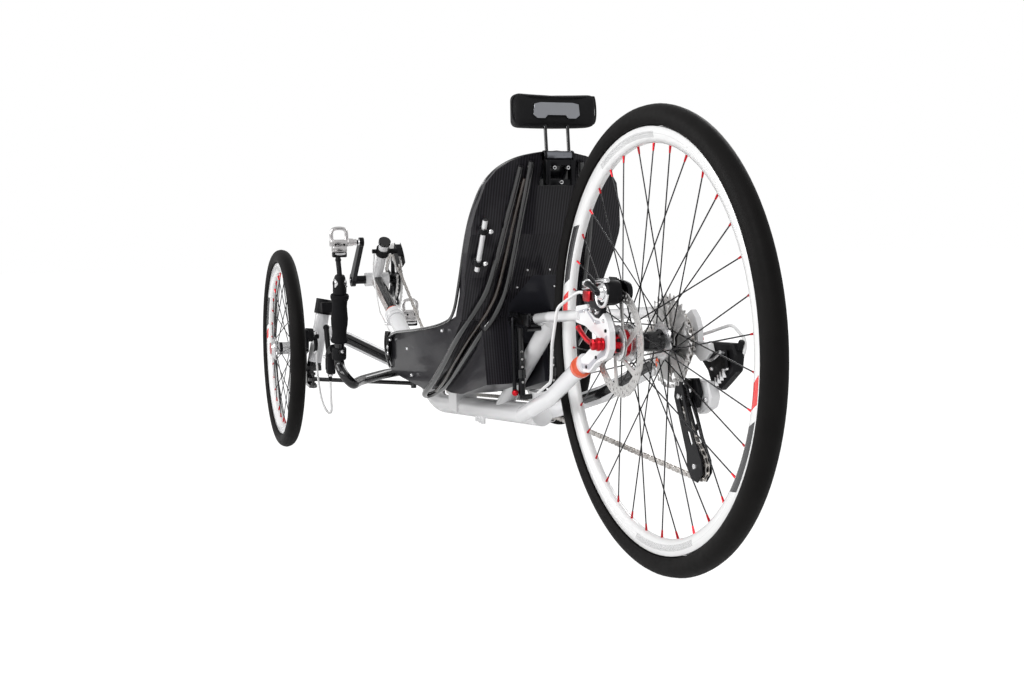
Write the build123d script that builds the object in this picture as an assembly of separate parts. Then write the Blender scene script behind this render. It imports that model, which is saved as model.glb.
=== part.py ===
from build123d import *
import os
from math import asin, atan2, cos, degrees, hypot, pi, radians, sin, tan

# Recumbent tadpole trike: two steered front wheels, one driven rear wheel, bucket seat, boom and cranks.
# Millimetres. The trike faces -Y, its left side is +X, +Z is up.
# Below, every place is measured from the rear wheel's contact with the ground (y = 0 at the rear axle);
# the last step moves the whole trike along Y, so that the origin is midway between its two ends.

# ---------------------------------------------------------------- driving dimensions
WHEELBASE = 1254.0            # rear axle to front axles
TRACK = 702.0                 # between the front wheels' centres
FIT_GAP = 0.3                 # seated pieces that touch along curved faces
RUN_GAP = 0.05                # radial clearance of a running fit

TYRE_RADIUS = 17.5            # tyre's tube, all wheels
REAR_RADIUS = 346.0
FRONT_RADIUS = 238.0
CAMBER = 1.2                  # degrees, tops inward

FRONT_Y = -WHEELBASE          # front axles
KINGPIN_X = TRACK / 2 - 83    # kingpin's axis at the height of the front axles
KINGPIN_TILT = 11.5           # degrees, tops inward
KINGPIN_RADIUS = 8.0
HEAD_RADIUS = 17.0
HEAD_TOP = 81.0               # along the kingpin, from the axle's height
HEAD_BOTTOM = -38.0

STEER_Y = FRONT_Y + 64        # handlebar's pivot
STEER_PIN_RADIUS = 6.0
BAR_Z = 176.0                 # handlebar's centre section
BAR_RADIUS = 11.0
TIE_INNER = (58.0, STEER_Y + 52, 148.0)
TIE_OUTER = (KINGPIN_X + 21, FRONT_Y + 53, 165.0)
TIE_DRIFT = 5.6               # room round the outer bolt, where the linkage is open

MAIN_RADIUS = 21.0
SOCKET = (0.0, FRONT_Y - 291, 288.0)    # mouth of the boom's socket
KEEL = (0.0, FRONT_Y + 129, 98.0)       # main tube's lowest bend
TAIL = (0.0, -440.0, 170.0)             # main tube's rear end
KEEL_BEND = 250.0

CRANK_AXLE = (0.0, FRONT_Y - 486, 377.0)
CRANK_LENGTH = 165.0
CRANK_ANGLE = 41.8            # degrees, left crank: 0 points rearward, 90 up
SHELL_RADIUS = 20.0
SHELL_WIDTH = 68.0
BOOM_RADIUS = 17.5
POST_RADIUS = 14.0
POST_LENGTH = 150.0
POST_ANGLE = 44.5             # degrees above the rearward direction

CHAIN_X = -46.8               # plane of the chain
CHAIN_PITCH = 12.7
CHAIN_HEIGHT = 8.6
CHAIN_PLATE = 0.8
CHAIN_INSIDE = 3.2            # between the side plates

SEAT_WALL = 5.0
SEAT_HALF = 144.0             # back's half width


# ---------------------------------------------------------------- helpers
def vec(p):
    return Vector(*p)


def rod(start, end, radius):
    """Cylinder between two points."""
    run = vec(end) - vec(start)
    return Solid.make_cylinder(radius, run.length, Plane(origin=vec(start), z_dir=run))


def disc(x_low, x_high, y, z, radius):
    """Cylinder along X."""
    return rod((x_low, y, z), (x_high, y, z), radius)


def block(low, high):
    """Box between two corners."""
    size = [h - l for l, h in zip(low, high)]
    middle = [(l + h) / 2 for l, h in zip(low, high)]
    return Pos(*middle) * Box(*size)


def plate(outline, x_low, x_high):
    """Plate across X from an outline of (y, z) points."""
    edge = Polyline(*[(x_low, y, z) for y, z in outline], close=True)
    return extrude(make_face(edge), amount=x_high - x_low, dir=(1, 0, 0))


def slab(outline, z_low, z_high):
    """Level plate from an outline of (x, y) points."""
    edge = Polyline(*[(x, y, z_low) for x, y in outline], close=True)
    return extrude(make_face(edge), amount=z_high - z_low, dir=(0, 0, 1))


def pipe(points, radius, bends):
    """Round bar along straight runs joined by tangent arcs."""
    path = FilletPolyline(*points, radius=bends) if len(points) > 2 else Line(*points)
    section = Plane(origin=path @ 0, z_dir=path % 0) * Circle(radius)
    return sweep(section, path=path)


def oval_pipe(points, half_wide, half_tall, bends):
    """Oval bar along straight runs joined by arcs, its wide way level."""
    path = FilletPolyline(*points, radius=bends) if len(points) > 2 else Line(*points)
    heading = path % 0
    level = Vector(heading.Y, -heading.X, 0)
    section = Plane(origin=path @ 0, x_dir=level, z_dir=heading) * Ellipse(half_wide, half_tall)
    return sweep(section, path=path)


def turned(profile):
    """Solid of revolution about X from (x, radius) points."""
    edge = Polyline(*[(x, 0, r) for x, r in profile], close=True)
    return revolve(make_face(edge), axis=Axis.X)


def ring(x_low, x_high, inner, outer):
    return turned([(x_low, inner), (x_high, inner), (x_high, outer), (x_low, outer)])


def polar(radius, angle):
    """(y, z) of a point at an angle in degrees, 0 rearward, 90 up."""
    return radius * cos(radians(angle)), radius * sin(radians(angle))


def round_axle(*points):
    """(y, z) points counted from the rear axle."""
    return [(y, z + REAR_RADIUS) for y, z in points]


def other_side(shape):
    return mirror(shape, about=Plane.YZ)


def union(first, *rest):
    for piece in rest:
        first = first + piece
    return first


def less(shape, *tools):
    for tool in tools:
        shape = shape - tool
    return shape


nodes = {}


def keep(name, shape):
    nodes[name] = shape
    return shape


def keep_pair(name, left):
    """One node for each side."""
    keep("left_" + name, left)
    keep("right_" + name, other_side(left))


def separate(*shapes):
    """Pieces of one node that don't touch."""
    return Compound([solid for shape in shapes for solid in shape.solids()])


def both(left):
    return separate(left, other_side(left))


# ---------------------------------------------------------------- wheels
RIM_HALF = 10.0               # half of the rim's width
RIM_WALL = 1.8
RIM_WELL = 2.9                # tyre's seat below the rim's edge
RIM_DEPTH = 24.0
BEAD = 2 * TYRE_RADIUS        # tyre's height above its seat
SPOKE_RADIUS = 1.0
SPOKE_END_GAP = 0.2


def tyre(radius):
    """Round tyre, faceted across, on a seat two tube radii below the tread."""
    centre = radius - TYRE_RADIUS
    seat = radius - BEAD
    edge = seat + RIM_WELL + FIT_GAP
    inside = RIM_HALF - RIM_WALL - FIT_GAP
    round_part = []
    for turn in (-145, -90, -45, 0, 45, 90, 145):
        round_part.append((TYRE_RADIUS * sin(radians(turn)), centre + TYRE_RADIUS * cos(radians(turn))))
    foot = [(inside, edge), (inside, seat + FIT_GAP), (-inside, seat + FIT_GAP), (-inside, edge)]
    return turned(round_part + foot)


def rim(radius):
    """Deep rim with a shallow well for the tyre."""
    seat = radius - BEAD
    lip = seat + RIM_WELL
    foot = lip - RIM_DEPTH
    inside = RIM_HALF - RIM_WALL
    half = [(inside, lip), (RIM_HALF, lip), (RIM_HALF, foot + 8), (3.5, foot)]
    return turned([(-x, r) for x, r in half[::-1]] + [(-inside, seat), (inside, seat)] + half)


def spokes(radius, count, flange_x, flange_radius, cross):
    """Straight spokes, in turn from the left and the right flange, leading and trailing."""
    end = radius - BEAD + RIM_WELL - RIM_DEPTH - SPOKE_END_GAP
    step = 360.0 / count
    made = []
    for number in range(count):
        side = flange_x[number % 2]
        lead = cross if (number // 2) % 2 else -cross
        outer = 7.0 + step * number
        y0, z0 = polar(flange_radius, outer + lead)
        y1, z1 = polar(end, outer)
        made.append(rod((side, y0, z0), (0, y1, z1), SPOKE_RADIUS))
    return made


def toothed(teeth, x_low, x_high, bore):
    """Sprocket with pointed teeth on its pitch circle."""
    pitch_radius = CHAIN_PITCH / (2 * sin(pi / teeth))
    outline = []
    for number in range(teeth):
        base = 360.0 * number / teeth
        for share, reach in ((0.28, -3.2), (0.43, 3.0), (0.57, 3.0), (0.72, -3.2)):
            outline.append(polar(pitch_radius + reach, base + share * 360.0 / teeth))
    return plate(outline, x_low, x_high) - disc(x_low - 1, x_high + 1, 0, 0, bore)


ROTOR_RADIUS = 80.0
ROTOR_THICK = 2.0


def rotor(x_low, bore):
    """Brake disc: swept ring, six arms and a centre ring with six bolts."""
    x_high = x_low + ROTOR_THICK
    shape = ring(x_low, x_high, ROTOR_RADIUS - 14, ROTOR_RADIUS)
    shape = shape + ring(x_low, x_high, bore, bore + 12)
    for number in range(6):
        angle = 60.0 * number
        y0, z0 = polar(bore + 8, angle)
        y1, z1 = polar(ROTOR_RADIUS - 8, angle + 22)
        run_y, run_z = y1 - y0, z1 - z0
        side_y, side_z = -run_z * 4.5 / hypot(run_y, run_z), run_y * 4.5 / hypot(run_y, run_z)
        outline = [(y0 - side_y, z0 - side_z), (y1 - side_y, z1 - side_z),
                   (y1 + side_y, z1 + side_z), (y0 + side_y, z0 + side_z)]
        shape = shape + plate(outline, x_low, x_high)
    return shape


# rear wheel, on its own axle, in its own frame first
REAR_AXLE_RADIUS = 5.0
REAR_SPOKES = 36
REAR_FLANGES = (34.0, -20.0)
REAR_FLANGE_RADIUS = 24.0
DROPOUT_INSIDE = 67.5
REAR_ROTOR_X = 50.0
SPROCKETS = (34, 30, 26, 23, 20, 17, 15, 13, 11)
SPROCKET_STEP = 4.2
SPROCKET_THICK = 1.8
CHAIN_SPROCKET = 4            # the one that carries the chain, counted from the largest

rear_bore = REAR_AXLE_RADIUS + RUN_GAP
rear_hub = turned([(-26, rear_bore), (REAR_ROTOR_X, rear_bore), (REAR_ROTOR_X, 20), (REAR_FLANGES[0] + 5, 20),
                   (REAR_FLANGES[0] + 2, 28), (REAR_FLANGES[0] - 2, 28), (REAR_FLANGES[0] - 5, 14),
                   (REAR_FLANGES[1] + 5, 14), (REAR_FLANGES[1] + 2, 28), (REAR_FLANGES[1] - 2, 28), (-26, 18)])
rear_hub = union(rear_hub, *spokes(REAR_RADIUS, REAR_SPOKES, REAR_FLANGES, REAR_FLANGE_RADIUS, 66))
cassette_low = CHAIN_X - SPROCKET_STEP * (len(SPROCKETS) - 1 - CHAIN_SPROCKET) - SPROCKET_THICK / 2
cassette = ring(cassette_low, -26, rear_bore, 17)
for place, teeth in enumerate(SPROCKETS):
    middle = CHAIN_X - SPROCKET_STEP * (place - CHAIN_SPROCKET)
    cassette = cassette + toothed(teeth, middle - SPROCKET_THICK / 2, middle + SPROCKET_THICK / 2, 16)
lock_ring = ring(-DROPOUT_INSIDE + 1.2, cassette_low, rear_bore, 12)
cassette = cassette + lock_ring

at_rear = Pos(0, 0, REAR_RADIUS)
keep("rear_tyre", at_rear * tyre(REAR_RADIUS))
keep("rear_rim", at_rear * rim(REAR_RADIUS))
keep("rear_hub_and_spokes", at_rear * rear_hub)
keep("cassette", at_rear * cassette)
keep("rear_brake_rotor", at_rear * (rotor(REAR_ROTOR_X, 17) + ring(REAR_ROTOR_X + ROTOR_THICK,
     DROPOUT_INSIDE - 1.2, rear_bore, 11) + ring(REAR_ROTOR_X, REAR_ROTOR_X + ROTOR_THICK, rear_bore, 18)))

# front wheels, built for the left side on a stub axle that enters from the inside
FRONT_AXLE_RADIUS = 7.5
FRONT_SPOKES = 32
FRONT_HUB_IN = -32.0          # hub's inner end, from the wheel's centre plane
FRONT_HUB_OUT = 30.0
FRONT_ROTOR_X = FRONT_HUB_IN - ROTOR_THICK
front_centre_z = (FRONT_RADIUS - TYRE_RADIUS) * cos(radians(CAMBER)) + TYRE_RADIUS
front_bore = FRONT_AXLE_RADIUS + RUN_GAP
front_hub = turned([(FRONT_HUB_IN, front_bore), (22, front_bore), (22, 0), (FRONT_HUB_OUT, 0), (FRONT_HUB_OUT, 14),
                    (24, 16), (22, 24), (18, 24), (15, 15), (-15, 15), (-18, 24), (-22, 24), (-24, 18),
                    (FRONT_HUB_IN, 18)])
front_hub = union(front_hub, *spokes(FRONT_RADIUS, FRONT_SPOKES, (20.0, -20.0), 20, 60))
at_front = Pos(TRACK / 2, FRONT_Y, front_centre_z) * Rot(0, -CAMBER, 0)
keep_pair("front_tyre", at_front * tyre(FRONT_RADIUS))
keep_pair("front_rim", at_front * rim(FRONT_RADIUS))
keep_pair("front_hub_and_spokes", at_front * front_hub)
keep_pair("front_brake_rotor", at_front * rotor(FRONT_ROTOR_X, 10))

# ---------------------------------------------------------------- main frame
main_tube = pipe([SOCKET, KEEL, TAIL], MAIN_RADIUS, KEEL_BEND)
socket_run = (vec(KEEL) - vec(SOCKET)).normalized()
boom_run = (vec(SOCKET) - vec(CRANK_AXLE)).normalized()
collar = rod(SOCKET, vec(SOCKET) + socket_run * 34, MAIN_RADIUS + 3)
main_tube = main_tube + collar

RISER_RADIUS = 16.5
RISER_BASE = (0.0, -650.0, 160.0)
RISER_TOP = (0.0, -388.0, 350.0)
riser = less(rod(RISER_BASE, RISER_TOP, RISER_RADIUS), main_tube)

STAY_RADIUS = 9.0
STAY_X = 62.0                 # where both stays meet the dropout
upper_stay = pipe([(8, -410, 346), (36, -365, 357), (STAY_X, -240, REAR_RADIUS + 23),
                   (STAY_X + 10, -84, REAR_RADIUS + 37)], STAY_RADIUS, [40, 90])
upper_stay = less(upper_stay, riser)
lower_stay = oval_pipe([(18, -500, 163), (34, -400, 190), (50, -270, REAR_RADIUS - 116),
                        (STAY_X + 10, -78, REAR_RADIUS - 36)], 11, 15, [200, 200])
lower_stay = less(lower_stay, main_tube, block((-60, -700, 0), (0, 0, 400)))

DROPOUT_THICK = 9.0
dropout_outline = round_axle((-104, 36), (-97, 50), (-58, 55), (-46, 44), (-30, 37), (-14, 36), (2, 45), (15, 34),
                             (23, 20), (23, -6), (12, -20), (-25, -31), (-52, -48), (-92, -50), (-100, -42),
                             (-73, -25), (-46, -11), (-20, -8), (-14, 0), (-20, 9), (-44, 15), (-63, 22),
                             (-97, 25))
dropout = plate(dropout_outline, DROPOUT_INSIDE, DROPOUT_INSIDE + DROPOUT_THICK)
dropout = dropout - disc(DROPOUT_INSIDE - 1, DROPOUT_INSIDE + DROPOUT_THICK + 1, 0, REAR_RADIUS, REAR_AXLE_RADIUS)
upper_stay = less(upper_stay, dropout)
lower_stay = less(lower_stay, dropout)

axle_out = DROPOUT_INSIDE + DROPOUT_THICK
rear_axle = disc(-axle_out - 4, axle_out + 4, 0, REAR_RADIUS, REAR_AXLE_RADIUS - 0.02)
rear_axle = rear_axle + disc(axle_out + 0.05, axle_out + 18, 0, REAR_RADIUS, 8)
rear_axle = rear_axle + disc(-axle_out - 12, -axle_out - 0.05, 0, REAR_RADIUS, 8)
lever_outline = round_axle((-8, -6), (6, -10), (8, 4), (-24, 10), (-50, 20), (-58, 16), (-28, 0))
rear_axle = rear_axle + plate(lever_outline, axle_out + 12, axle_out + 18)

# cross member: an arm from the main tube to a head tube on each side
ARM_RADIUS = 16.5
kingpin_up = Vector(-sin(radians(KINGPIN_TILT)), 0, cos(radians(KINGPIN_TILT)))
kingpin_at = Vector(KINGPIN_X, FRONT_Y, front_centre_z)
head_tube = rod(kingpin_at + kingpin_up * HEAD_BOTTOM, kingpin_at + kingpin_up * HEAD_TOP, HEAD_RADIUS)
head_bore = rod(kingpin_at + kingpin_up * (HEAD_BOTTOM - 1), kingpin_at + kingpin_up * (HEAD_TOP + 1),
                KINGPIN_RADIUS + RUN_GAP)
arm_end = kingpin_at + kingpin_up * 42
arm = pipe([(0, FRONT_Y, 172), (75, FRONT_Y, 190), (KINGPIN_X - 78, FRONT_Y, 252), tuple(arm_end)], ARM_RADIUS,
           [110, 110])
arm = less(arm, main_tube, head_tube, block((-60, FRONT_Y - 150, 0), (0, FRONT_Y + 150, 400)))
cross_arm = arm + less(head_tube, head_bore)

# handlebar's pivot pin stands on the main tube
PIVOT_TOP = 200.0
PLATE_LOW = 159.0
pivot = union(rod((0, STEER_Y, 130), (0, STEER_Y, PLATE_LOW - FIT_GAP), 15),
              rod((0, STEER_Y, 130), (0, STEER_Y, PIVOT_TOP), STEER_PIN_RADIUS))
pivot = less(pivot, main_tube)

keep("seat_riser", riser)
keep("upper_stays", both(upper_stay))
keep("lower_stays", both(lower_stay))
keep("rear_axle", rear_axle)
keep_pair("cross_arm", cross_arm)
keep("steering_pivot", pivot)

# ---------------------------------------------------------------- boom, crank housing, derailleur post
shell_half = SHELL_WIDTH / 2
spindle_bore = 12.0 + RUN_GAP
post_run = Vector(0, *polar(1, POST_ANGLE))
post_top = vec(CRANK_AXLE) + post_run * POST_LENGTH
housing = disc(-shell_half, shell_half, CRANK_AXLE[1], CRANK_AXLE[2], SHELL_RADIUS)
housing = housing + rod(CRANK_AXLE, post_top, POST_RADIUS)
housing = housing - disc(-shell_half - 1, shell_half + 1, CRANK_AXLE[1], CRANK_AXLE[2], spindle_bore)
boom = less(rod(CRANK_AXLE, SOCKET, BOOM_RADIUS), housing, rod(CRANK_AXLE, post_top, POST_RADIUS),
            disc(-shell_half, shell_half, CRANK_AXLE[1], CRANK_AXLE[2], SHELL_RADIUS), main_tube)
keep("crank_housing", housing)
keep("boom", boom)

# ---------------------------------------------------------------- cranks and pedals
ARM_IN = 64.0
ARM_OUT = 76.0
PEDAL_IN = 84.0
PEDAL_OUT = 160.0
PEDAL_AXLE_RADIUS = 6.0
axle_y, axle_z = CRANK_AXLE[1], CRANK_AXLE[2]
reach_y, reach_z = polar(CRANK_LENGTH, CRANK_ANGLE)


def crank_arm(sign):
    """Tapering arm, its pedal axle and its hub; sign 1 is the left."""
    y1, z1 = axle_y + sign * reach_y, axle_z + sign * reach_z
    side_y, side_z = -reach_z / CRANK_LENGTH, reach_y / CRANK_LENGTH
    outline = []
    for y, z, half in ((axle_y, axle_z, 15), (y1, z1, 11)):
        outline.append(((y - side_y * half, z - side_z * half), (y + side_y * half, z + side_z * half)))
    corners = [outline[0][0], outline[1][0], outline[1][1], outline[0][1]]
    low, high = sorted((sign * ARM_IN, sign * ARM_OUT))
    shape = plate(corners, low, high)
    shape = shape + disc(low, high, axle_y, axle_z, 19) + disc(low, high, y1, z1, 13)
    low, high = sorted((sign * ARM_OUT, sign * (PEDAL_OUT - 14)))
    return shape + disc(low, high, y1, z1, PEDAL_AXLE_RADIUS)


spindle = disc(-ARM_IN, ARM_IN, axle_y, axle_z, 12)
keep("crankset", union(spindle, crank_arm(1), crank_arm(-1)))


def pedal(sign):
    """Clip-in pedal, face turned to the rider: body on the axle, loop above, jaw below."""
    y1, z1 = axle_y + sign * reach_y, axle_z + sign * reach_z
    inner, outer = 104.0, PEDAL_OUT
    loop = [(y1 - 8, z1 - 4), (y1 + 8, z1 - 4), (y1 + 8, z1 + 38), (y1 - 8, z1 + 38)]
    shape = plate(loop, inner + 4, outer - 4) - block((inner + 14, y1 - 9, z1 + 14), (outer - 14, y1 + 9, z1 + 29))
    shape = shape + block((inner, y1 - 11, z1 - 13), (outer, y1 + 11, z1 + 12))
    shape = shape + block((inner + 8, y1 - 15, z1 - 42), (outer - 8, y1 + 13, z1 - 13))
    shape = shape + disc(PEDAL_IN, inner, y1, z1, 10)
    shape = shape - disc(ARM_OUT, PEDAL_OUT - 13, y1, z1, PEDAL_AXLE_RADIUS + RUN_GAP)
    return shape if sign > 0 else other_side(shape)


keep("left_pedal", pedal(1))
keep("right_pedal", pedal(-1))

BIG_RING = 50
SMALL_RING = 34
BIG_RING_X = CHAIN_X - 5.2
rings = toothed(BIG_RING, BIG_RING_X - 1, BIG_RING_X + 1, 76) + toothed(SMALL_RING, CHAIN_X - 1, CHAIN_X + 1, 50)
for number in range(5):
    y0, z0 = polar(57, 72 * number + 20)
    y1, z1 = polar(80, 72 * number + 20)
    rings = rings + disc(BIG_RING_X - 3, CHAIN_X + 2, y0, z0, 5)
    side_y, side_z = polar(8, 72 * number + 110)
    outline = [(-side_y, -side_z), (y1 - side_y, z1 - side_z), (y1 + side_y, z1 + side_z), (side_y, side_z)]
    rings = rings + plate(outline, BIG_RING_X - 4, BIG_RING_X - 1)
rings = rings + disc(-ARM_IN + 0.1, BIG_RING_X - 1, 0, 0, 22)
rings = rings - disc(-ARM_IN, 0, 0, 0, 12 + RUN_GAP)
keep("chainrings", Pos(0, axle_y, axle_z) * rings)

# ---------------------------------------------------------------- chain and what guides it
def pitch_radius(teeth):
    return CHAIN_PITCH / (2 * sin(pi / teeth))


FRONT_IDLER = (FRONT_Y + 59, 130.0, 18.0)       # y, z, radius of the chain's middle
REAR_IDLER = (-545.0, 192.0, 12.0)
RETURN_IDLER = (FRONT_Y + 59, 84.0, 14.0)
TUBE_BEND = (-470.0, 96.0, 60.0)
GUIDE_PULLEY = (18.0, REAR_RADIUS - 82, 20.0)
TENSION_PULLEY = (65.0, REAR_RADIUS - 179, 20.0)

# the chain's loop in the (y, z) plane: y, z, radius, way round (1 clockwise)
chain_loop = [
    (axle_y, axle_z, pitch_radius(SMALL_RING), 1),
    FRONT_IDLER + (-1,),
    REAR_IDLER + (-1,),
    (0.0, REAR_RADIUS, pitch_radius(SPROCKETS[CHAIN_SPROCKET]), 1),
    GUIDE_PULLEY + (-1,),
    TENSION_PULLEY + (1,),
    TUBE_BEND + (-1,),
    RETURN_IDLER + (1,),
]


def tangent(first, second):
    """Points where the chain leaves one circle and meets the next."""
    dy, dz = second[0] - first[0], second[1] - first[1]
    gap = hypot(dy, dz)
    heading = atan2(dz, dy)
    lean = asin((first[2] * first[3] - second[2] * second[3]) / gap)
    run = heading - lean
    left_y, left_z = -sin(run), cos(run)
    start = (first[0] + left_y * first[2] * first[3], first[1] + left_z * first[2] * first[3])
    end = (second[0] + left_y * second[2] * second[3], second[1] + left_z * second[2] * second[3])
    return start, end


runs = [tangent(chain_loop[n], chain_loop[(n + 1) % len(chain_loop)]) for n in range(len(chain_loop))]


def chain_band(x_low, x_high):
    """One row of side plates: a flat band round the whole loop."""
    edges = []
    for number, (start, end) in enumerate(runs):
        edges.append(Line((x_low, *start), (x_low, *end)))
        follower = chain_loop[(number + 1) % len(chain_loop)]
        leave = runs[(number + 1) % len(runs)][0]
        a0 = atan2(end[1] - follower[1], end[0] - follower[0])
        a1 = atan2(leave[1] - follower[1], leave[0] - follower[0])
        turn = (a0 - a1) % (2 * pi) if follower[3] > 0 else (a1 - a0) % (2 * pi)
        middle = a0 - follower[3] * turn / 2
        point = (x_low, follower[0] + follower[2] * cos(middle), follower[1] + follower[2] * sin(middle))
        edges.append(ThreePointArc((x_low, *end), point, (x_low, *leave)))
    path = Wire(edges)
    start, end = runs[0]
    heading = Vector(0, end[0] - start[0], end[1] - start[1])
    face = Plane(origin=(x_low, *start), x_dir=(1, 0, 0), z_dir=heading) * Pos((x_high - x_low) / 2, 0) * Rectangle(
        x_high - x_low, CHAIN_HEIGHT)
    return sweep(face, path=path)


plate_in = CHAIN_INSIDE / 2
plate_out = plate_in + CHAIN_PLATE
chain = chain_band(CHAIN_X - plate_out, CHAIN_X - plate_in) + chain_band(CHAIN_X + plate_in, CHAIN_X + plate_out)
for start, end in runs:
    length = hypot(end[0] - start[0], end[1] - start[1])
    if length > 80:
        ahead_y, ahead_z = (end[0] - start[0]) / length, (end[1] - start[1]) / length
        up_y, up_z = -ahead_z * 2.5, ahead_y * 2.5
        y0, z0 = start[0] + ahead_y * 32, start[1] + ahead_z * 32
        y1, z1 = end[0] - ahead_y * 32, end[1] - ahead_z * 32
        outline = [(y0 - up_y, z0 - up_z), (y1 - up_y, z1 - up_z), (y1 + up_y, z1 + up_z), (y0 + up_y, z0 + up_z)]
        chain = chain + plate(outline, CHAIN_X - plate_in, CHAIN_X + plate_in)
keep("chain", chain)


def idler(centre, reach):
    """Chain wheel on a bolt that reaches in from the frame."""
    y, z, radius = centre
    wheel = disc(CHAIN_X - 1.2, CHAIN_X + 1.2, y, z, radius + 2) - disc(CHAIN_X - 2, CHAIN_X + 2, y, z, 5)
    return wheel + disc(CHAIN_X - 8, reach, y, z, 5)


idler_plate = block((-34, FRONT_IDLER[0] - 13, 75), (-29, FRONT_IDLER[0] + 13, 141))
front_idlers = union(idler(FRONT_IDLER, 0), idler(RETURN_IDLER, -29), idler_plate)
front_idlers = less(front_idlers, main_tube)
rear_idler = less(idler(REAR_IDLER, -24) + block((-30, -557, 150), (-24, -533, 201)), riser, main_tube)
keep("chain_idlers", separate(front_idlers, rear_idler))

TUBE_OUTER = 9.0
TUBE_INNER = 7.4
TUBE_CLIP_Y = (-600.0, -860.0)
tube_start, tube_end = runs[6]
tube_run = (Vector(0, *tube_end) - Vector(0, *tube_start)).normalized()
tube_from = Vector(CHAIN_X, *tube_start) + tube_run * 30
tube_to = Vector(CHAIN_X, *tube_end) - tube_run * 60
chain_tube = rod(tuple(tube_from), tuple(tube_to), TUBE_OUTER)
for y in TUBE_CLIP_Y:
    z = tube_from.Z + tube_run.Z * (y - tube_from.Y) / tube_run.Y
    chain_tube = chain_tube + block((CHAIN_X, y - 8, z - 3), (-10, y + 8, z + 5))
chain_tube = less(chain_tube, main_tube, rod(tuple(tube_from - tube_run), tuple(tube_to + tube_run), TUBE_INNER))
keep("chain_tube", chain_tube)

# ---------------------------------------------------------------- derailleurs
cage = round_axle((2, -84), (8, -96), (52, -190), (66, -194), (80, -182), (78, -172), (34, -76), (18, -66))
derailleur = union(plate(cage, CHAIN_X - 8, CHAIN_X - 6), plate(cage, CHAIN_X + 6, CHAIN_X + 8))
for centre in (GUIDE_PULLEY, TENSION_PULLEY):
    y, z, radius = centre
    derailleur = derailleur + disc(CHAIN_X - 8, CHAIN_X + 8, y, z, 4)
    derailleur = derailleur + disc(CHAIN_X - 1.2, CHAIN_X + 1.2, y, z, radius + 2)
links = round_axle((46, -4), (60, -9), (96, -34), (92, -50), (58, -82), (38, -80), (38, -62), (70, -43), (40, -22))
HANGER = (47.0, REAR_RADIUS - 15)
derailleur = derailleur + plate(links, -96, -axle_out - 6)
derailleur = derailleur + disc(-axle_out - 6, -axle_out, *HANGER, 9)
derailleur = derailleur + disc(-axle_out - 6, CHAIN_X - 6, 44, REAR_RADIUS - 72, 12)
keep("rear_derailleur", derailleur)
hanger = plate(round_axle((12, -20), (20, -2), (36, 0), (52, -2), (58, -16), (46, -26), (30, -30)), -axle_out,
               -DROPOUT_INSIDE)
right_dropout = other_side(dropout) + hanger
keep("dropouts", separate(dropout, right_dropout))

CLAMP_AT = 118.0              # along the post
clamp_low = vec(CRANK_AXLE) + post_run * (CLAMP_AT - 10)
clamp_high = vec(CRANK_AXLE) + post_run * (CLAMP_AT + 10)
clamp_middle = vec(CRANK_AXLE) + post_run * CLAMP_AT
shifter_arc = []
for radius, angles in ((88, (24, 36, 48, 60)), (122, (60, 48, 36, 24))):
    for angle in angles:
        y, z = polar(radius, angle)
        shifter_arc.append((axle_y + y, axle_z + z))
bridge = []
for radius, angles in ((116, (36, 48, 56)), (122, (56, 48, 36))):
    for angle in angles:
        y, z = polar(radius, angle)
        bridge.append((axle_y + y, axle_z + z))
front_shift = union(rod(tuple(clamp_low), tuple(clamp_high), POST_RADIUS + 5),
                    rod(tuple(clamp_middle), (CHAIN_X + 6, clamp_middle.Y, clamp_middle.Z), 7),
                    plate(shifter_arc, CHAIN_X + 4.8, CHAIN_X + 6.3),
                    plate(shifter_arc, BIG_RING_X - 6.5, BIG_RING_X - 5.5),
                    plate(bridge, BIG_RING_X - 6.5, CHAIN_X + 6.3),
                    rod(tuple(clamp_middle), (30, clamp_middle.Y, clamp_middle.Z), 6))
post_solid = rod(CRANK_AXLE, tuple(post_top), POST_RADIUS)
keep("front_derailleur", less(front_shift, post_solid))
keep("post_cap", rod(tuple(post_top), tuple(post_top + post_run * 9), POST_RADIUS + 3))

# ---------------------------------------------------------------- steering
BAR_POINTS = [(0, STEER_Y + 6, BAR_Z), (64, STEER_Y + 10, BAR_Z), (135, STEER_Y + 63, BAR_Z),
              (212, STEER_Y + 159, BAR_Z + 1), (262, STEER_Y + 272, BAR_Z + 4), (270, STEER_Y + 210, BAR_Z + 46),
              (270, STEER_Y + 243, BAR_Z + 212)]
BAR_BENDS = [60, 120, 160, 24, 24]
PLATE_THICK = 7.0
half_bar = pipe(BAR_POINTS, BAR_RADIUS, BAR_BENDS)
steer_outline = [(18, -13), (68, 42), (70, 58), (56, 64), (0, 26), (-56, 64), (-70, 58), (-68, 42), (-18, -13)]
steer_plate = slab([(x, STEER_Y + y) for x, y in steer_outline], PLATE_LOW, PLATE_LOW + PLATE_THICK)
bar_hub = rod((0, STEER_Y, PLATE_LOW), (0, STEER_Y, PIVOT_TOP - 6), 15)
handlebar = union(half_bar, other_side(half_bar), steer_plate, bar_hub)
for side in (1, -1):
    x, y, z = side * TIE_INNER[0], TIE_INNER[1], TIE_INNER[2]
    handlebar = union(handlebar, rod((x, y, z - 11), (x, y, PLATE_LOW), 4), rod((x, y, z - 11), (x, y, z - 4.3), 6.5),
                      rod((x, y, z + 4.3), (x, y, PLATE_LOW), 6.5))
handlebar = handlebar - rod((0, STEER_Y, PLATE_LOW - 1), (0, STEER_Y, PIVOT_TOP), STEER_PIN_RADIUS + RUN_GAP)
keep("handlebar", handlebar)

grip_start, grip_end = vec(BAR_POINTS[5]), vec(BAR_POINTS[6])
grip_run = (grip_end - grip_start).normalized()


def along_grip(distance):
    return tuple(grip_start + grip_run * distance)


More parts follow.
